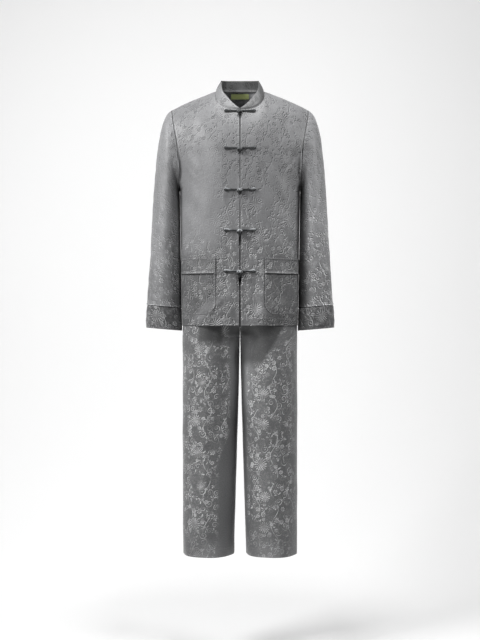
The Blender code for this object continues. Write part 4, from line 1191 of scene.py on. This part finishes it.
class PYJAMA_OT_frogs(bpy.types.Operator):
    """Make five frogs: a hairpin of bound cord to each side, and a woven ball knot."""

    bl_idname = "pyjama.frogs"
    bl_label = "Frogs"

    def execute(self, context):
        sizes = context.scene.pyjama_sizes
        for number, height in enumerate(FROG_HEIGHTS):
            r = sizes.cord * (1 + 0.045 * number)
            for side, word in ((-1, "loop"), (1, "knot")):
                strands = self.strap(side, height, r, 0.0006 * math.sin(number * 2.1), word)
                if word == "knot":
                    strands += self.ball(height, r, sizes.knot * (1 + 0.05 * number), number)
                mesh = cord_mesh("frog_%s_cord_%d" % (word, number + 1), strands)
                finish_piece(mesh.name, mesh, ("cord_face",),
                             "frog_%s_%d" % (word, number + 1))
        return {"FINISHED"}

    @staticmethod
    def on_front(x, z, off):
        """Points on the fronts moved straight out by off."""
        point = torso(turn_of(x, z), z, -1)
        point[:, 1] -= off + 0.0006
        return point

    def strap(self, side, height, r, droop, word):
        """Hairpin: out along the top, round the end, back along the bottom, and for the loop
        half round the knot's neck as well."""
        inner, swell = (-0.0010, 0.0025) if word == "loop" else (0.0087, 0.0040)
        end = FROG_REACH - 0.002
        x = np.concatenate([np.linspace(end, 0.010, 26), np.linspace(0.0085, inner, 7)])
        thick = r * (0.74 + 0.44 * step(x, 0.020, FROG_REACH - 0.004))
        gap = 1.02 * thick + 0.0012 * bump(x, swell, 0.0045) \
            + 0.0006 * step(x, 0.032, FROG_REACH - 0.003)
        arch = droop * np.sin(np.clip(x / FROG_REACH, 0, 1) * math.pi) \
            + 0.0009 * step(x, 0.02, FROG_REACH)
        near, far = (np.radians(np.linspace(start, start - 180, 9))[1:-1] for start in (90, -90))
        px = np.concatenate([x, inner - gap[-1] * np.cos(near), x[::-1],
                             end - gap[0] * np.cos(far)])
        pz = np.concatenate([gap + arch, gap[-1] * np.sin(near), (arch - gap)[::-1],
                             arch[0] + gap[0] * np.sin(far)])
        thick = np.concatenate([thick, np.full(7, thick[-1]), thick[::-1], np.full(7, thick[0])])
        off = r * 0.92 + 0.0004 * np.sin(px * 300) + 0.7 * r * step(pz, -0.3 * r, 0.6 * r)
        return [(self.on_front(side * px, height + pz, off), thick, 10, 1.0, True)]

    def ball(self, height, r, radius, number):
        """Knot: a cord that winds three times round the ball while it rises and falls four
        times, passing over and under itself, on a core; and its neck to the strap."""
        t = np.linspace(0, 2 * math.pi, 180, endpoint=False)
        turn, lift = 3 * t + number, 1.12 * np.sin(4 * t + 0.4 * number)
        over = radius + 0.30 * r * np.cos(8 * t + 0.8 * number)
        middle = self.on_front(np.array([-0.0011]), np.array([height - 0.0048]),
                               2.2 * r + radius * 0.72)[0]
        tilt = 0.25 * math.sin(number * 1.3)
        x, y = over * np.cos(lift) * np.cos(turn), over * np.cos(lift) * np.sin(turn) * 0.86
        z = over * np.sin(lift) * 1.12
        path = middle + np.stack([x * math.cos(tilt) - z * math.sin(tilt), y,
                                  x * math.sin(tilt) + z * math.cos(tilt)], axis=1)
        core = np.linspace(-1, 1, 14)
        core_path = middle + core[:, None] * (0, 0, radius * 0.96)
        core_r = radius * 0.96 * np.sqrt(np.maximum(1 - core ** 2, 0.004))
        neck = np.array([[0.0092, 0.0002], [0.0066, -0.0006], [0.0040, -0.0020]])
        neck_path = self.on_front(neck[:, 0], height + neck[:, 1],
                                  r * np.array([1.4, 2.6, 3.8]))
        tail = np.array([0.0, -0.5, -1.1, -1.8, -2.6, -3.3])[:, None]
        tail_path = middle + (0, 0.0012, -radius * 0.80) + tail * (0.0002, -0.0003, 0.0024)
        return [(path, r * 0.86, 8, 1.0, True), (core_path, core_r, 12, 0.86, False),
                (neck_path, r * 1.05, 8, 1.0, False),
                (tail_path, np.array([2.5, 2.5, 2.2, 1.7, 1.1, 0.5]) * r, 10, 0.8, False)]


def leg_surface(turn, z, face):
    """Leg surface: turn runs from the inner seam round to the outer seam; above the crotch the
    inner edge becomes the centre seam, along a quarter ellipse. Gives its middle too."""
    inner, outer = smooth(LEG, "inner_x", z), smooth(LEG, "outer_x", z)
    depth = smooth(LEG, "back" if face > 0 else "front", z)
    rise = np.clip((z - CROTCH_Z) / CROTCH_ROUND, 0, 1)
    seam, wave = np.sqrt(1 - (1 - rise) ** 2), np.abs(np.sin(turn))
    inside = np.sqrt(seam ** 2 + (1 - seam ** 2) * wave ** 2)
    x = inner + (outer - inner) * (1 - np.cos(turn)) / 2
    y = face * depth * np.where(turn < math.pi / 2, inside, wave)
    return np.stack([x, y, z], axis=-1), np.stack([(inner + outer) / 2, 0 * z, z], axis=-1)


class PYJAMA_OT_trousers(bpy.types.Operator):
    """Make the four trouser panels and the gathered elastic waistband."""

    bl_idname = "pyjama.trousers"
    bl_label = "Trousers"

    def execute(self, context):
        sizes = context.scene.pyjama_sizes
        turns = math.pi * fine_ends(58, 0.26, sizes.cloth / 2)
        low = TROUSER_HEM_Z + (CROTCH_Z - TROUSER_HEM_Z) * fine_ends(
            150, CROTCH_Z - TROUSER_HEM_Z, sizes.cloth / 2, end=False)[:-1]
        mid = CROTCH_Z + CROTCH_ROUND * (1 - np.cos(np.linspace(0, math.pi / 2, 22)))
        high = np.linspace(CROTCH_Z + CROTCH_ROUND, WAIST_Z, 36)[1:]
        turn, z = np.meshgrid(turns, np.concatenate([low, mid, high]))
        lines = [self.panel(sizes, turn, z, face, part, side, word)
                 for face, part in ((-1, "front"), (1, "back"))
                 for side, word in ((1, "left"), (-1, "right"))]
        sew("trouser_stitches", lines, 0.0005)
        around, tall = np.linspace(0, 2 * math.pi, 241), WAISTBAND_TOP - WAIST_Z
        z = WAIST_Z + 0.0005 + tall * fine_ends(10, tall, 0.0012)[:, None]
        gather = 1 + 0.010 * np.sin(around * 46) * np.sin(math.pi * (z - WAIST_Z) / tall)
        x, y = (np.sign(wave) * np.abs(wave) ** 0.86 * gather
                for wave in (np.sin(around), -np.cos(around)))
        depth = np.where(np.cos(around) > 0, 0.0885, 0.0935)
        grid = np.stack([0.150 * x, depth * y, z + 0 * x], axis=-1)
        cloth_shell("waistband", grid, WAISTBAND, "trouser", closed=True, shift=(0.9, 0.6))
        return {"FINISHED"}

    @staticmethod
    def panel(sizes, turn, z, face, part, side, word):
        """Leg panel: the leg's surface, folded and creased; gives its hem's stitches."""
        angle = np.arctan2(face * np.sin(turn[:1]), -np.cos(turn[:1]))
        amount = tube_folds(np.degrees(angle), z, (LEG_FOLDS, LEG_CREASES), sizes.creases,
                            side, (0.02, 2.1, 6.0, 1.9), 30, False)
        amount = amount + sizes.creases * 0.0007 * ripple(
            np.cos(angle) * 0.09, z * 0.55 + 0.05 * np.sin(angle), 41 + side, 0.10)
        amount = amount + bump(z, TROUSER_HEM_Z, 0.06) * 0.0018 * np.sin(angle * 5 + side)
        grid, middle = leg_surface(turn, z, face)
        edge = 0.35 + 0.65 * step(np.minimum(turn, math.pi - turn), 0.0, 0.16)
        grid = grid + unit(grid - middle) * (amount * edge)[..., None]
        grid[..., 1] = face * np.maximum(face * grid[..., 1], APART)
        grid[..., 0] = np.maximum(grid[..., 0], APART) * side
        cloth_shell("trouser_%s_%s" % (part, word), grid, sizes.cloth, "trouser",
                    flip=(side < 0) != (face > 0),
                    shift=(0.5 + 0.17 * side, 0.045 * (2 + side) + 0.1 * face))
        return stitch_line(grid, LEG_STITCHES, -side * face)


def backdrop_mesh():
    """Backdrop: a floor that rises in a quarter circle into a wall, as one profile pushed
    across."""
    bend = np.radians(np.linspace(0, 90, 24))
    y = np.concatenate([[-0.8, -0.2], 0.6 + 1.4 * np.sin(bend), [2.0]])
    z = np.concatenate([[0.0, 0.0], 1.4 * (1 - np.cos(bend)), [5.0]]) + FLOOR_Z
    points = np.stack(np.broadcast_arrays([[-7.0], [7.0]], y, z), axis=-1).reshape(-1, 3)
    k = np.arange(len(y) - 1)
    return new_mesh("backdrop", points,
                    [np.stack([k, len(y) + k, len(y) + k + 1, k + 1], axis=1)])


class PYJAMA_OT_stage(bpy.types.Operator):
    """Make the pale backdrop, the soft lights and the camera."""

    bl_idname = "pyjama.stage"
    bl_label = "Stage"

    def execute(self, context):
        scene = context.scene
        self.backdrop(scene)
        world = bpy.data.worlds.new("studio")
        world.use_nodes = True
        w, sky = Wires(world.node_tree), world.node_tree.nodes["Background"].inputs
        w.put(sky[0], (1.0, 1.0, 1.0, 1.0))
        w.put(sky[1], w.node("ShaderNodeLightPath", out="Is Camera Ray") * 0.82 + 0.10)
        scene.world = world
        scene.view_settings.view_transform = "Standard"
        # soft lights: place, what they face, width, power
        for name, place, aim, wide, power in (
                ("key", (-1.60, -1.05, 0.75), (-0.10, -0.10, -0.20), 0.80, 56.0),
                ("right", (1.75, -0.72, 0.30), (0.20, 0.00, -0.25), 0.70, 22.0),
                ("top", (0.05, -0.52, 1.25), (0.00, -0.10, -0.60), 0.30, 22.0),
                ("low", (-1.40, -2.00, -1.10), (0.00, 0.00, -1.15), 0.90, 16.0),
                ("wall", (0.7, 0.3, 3.0), (0.7, 2.0, -1.2), 3.0, 15.0)):
            lamp = bpy.data.lights.new(name, "AREA")
            lamp.size, lamp.energy = wide, power
            x, y, z = unit(np.array(aim) - np.array(place))
            self.put_in(scene, name, lamp, place,
                        (math.acos(-z), 0, math.atan2(y, x) - math.pi / 2))
        camera = bpy.data.cameras.new("camera")
        camera.sensor_fit = "VERTICAL"
        camera.angle = 2 * math.atan(HALF_PICTURE * PIXEL / CAMERA_AWAY)
        scene.camera = self.put_in(scene, "camera", camera, (0.0, -CAMERA_AWAY, CAMERA_Z),
                                   (math.pi / 2, 0, 0))
        return {"FINISHED"}

    @staticmethod
    def put_in(scene, name, data, place=(0, 0, 0), turn=(0, 0, 0)):
        """Put an object into the scene."""
        made = bpy.data.objects.new(name, data)
        scene.collection.objects.link(made)
        made.location, made.rotation_euler = place, turn
        return made

    def backdrop(self, scene):
        """Backdrop of pale paper, see-through for a camera behind it."""
        paper = bpy.data.materials.new("backdrop_paper")
        paper.use_nodes = True
        w, nodes = Wires(paper.node_tree), paper.node_tree.nodes
        shader, pale = nodes["Principled BSDF"], tuple(scene.pyjama_colours.floor)
        grain = w.noise(w.node("ShaderNodeTexCoord", out="Object"), 3.0)
        for socket, value in (
                ("Base Color", w.mix(grain, (*(0.99 * share for share in pale), 1), (*pale, 1))),
                ("Roughness", 0.9), ("Emission Color", (1.0, 1.0, 1.0, 1.0)),
                ("Emission Strength", 0.185)):
            w.put(shader.inputs[socket], value)
        behind = w.node("ShaderNodeNewGeometry", out="Backfacing") \
            * w.node("ShaderNodeLightPath", out="Is Camera Ray")
        w.put(nodes["Material Output"].inputs[0], w.node(
            "ShaderNodeMixShader", behind, Value(w, shader.outputs[0]),
            w.node("ShaderNodeBsdfTransparent")))
        mesh = backdrop_mesh()
        mesh.materials.append(paper)
        floor = self.put_in(scene, "backdrop", mesh)


class PYJAMA_PT_panel(bpy.types.Panel):
    """Sidebar panel with the sizes, the colours and the pieces."""

    bl_idname = "PYJAMA_PT_panel"
    bl_label = "Silk pyjama set"
    bl_space_type = "VIEW_3D"
    bl_region_type = "UI"
    bl_category = "Pyjamas"

    def draw(self, context):
        for group in (context.scene.pyjama_sizes, context.scene.pyjama_colours):
            box = self.layout.box()
            for name in group.__annotations__:
                box.prop(group, name)
        for operator in OPERATORS:
            self.layout.operator(operator.bl_idname)


OPERATORS = (PYJAMA_OT_fronts, PYJAMA_OT_sleeves, PYJAMA_OT_collar, PYJAMA_OT_pockets,
             PYJAMA_OT_frogs, PYJAMA_OT_trousers, PYJAMA_OT_stage)
CLASSES = (PyjamaSizes, PyjamaColours, *OPERATORS, PYJAMA_PT_panel)


def register():
    """Register the classes and the scene's properties."""
    for item in CLASSES:
        bpy.utils.register_class(item)
    bpy.types.Scene.pyjama_sizes = bpy.props.PointerProperty(type=PyjamaSizes)
    bpy.types.Scene.pyjama_colours = bpy.props.PointerProperty(type=PyjamaColours)


def unregister():
    """Take the classes and properties out again."""
    del bpy.types.Scene.pyjama_colours
    del bpy.types.Scene.pyjama_sizes
    for item in reversed(CLASSES):
        bpy.utils.unregister_class(item)


def main():
    """Make every piece in order."""
    register()
    bpy.ops.pyjama.body_panels()
    bpy.ops.pyjama.sleeves()
    bpy.ops.pyjama.collar()
    bpy.ops.pyjama.pockets()
    bpy.ops.pyjama.frogs()
    bpy.ops.pyjama.trousers()
    bpy.ops.pyjama.stage()


if __name__ == "__main__":
    main()
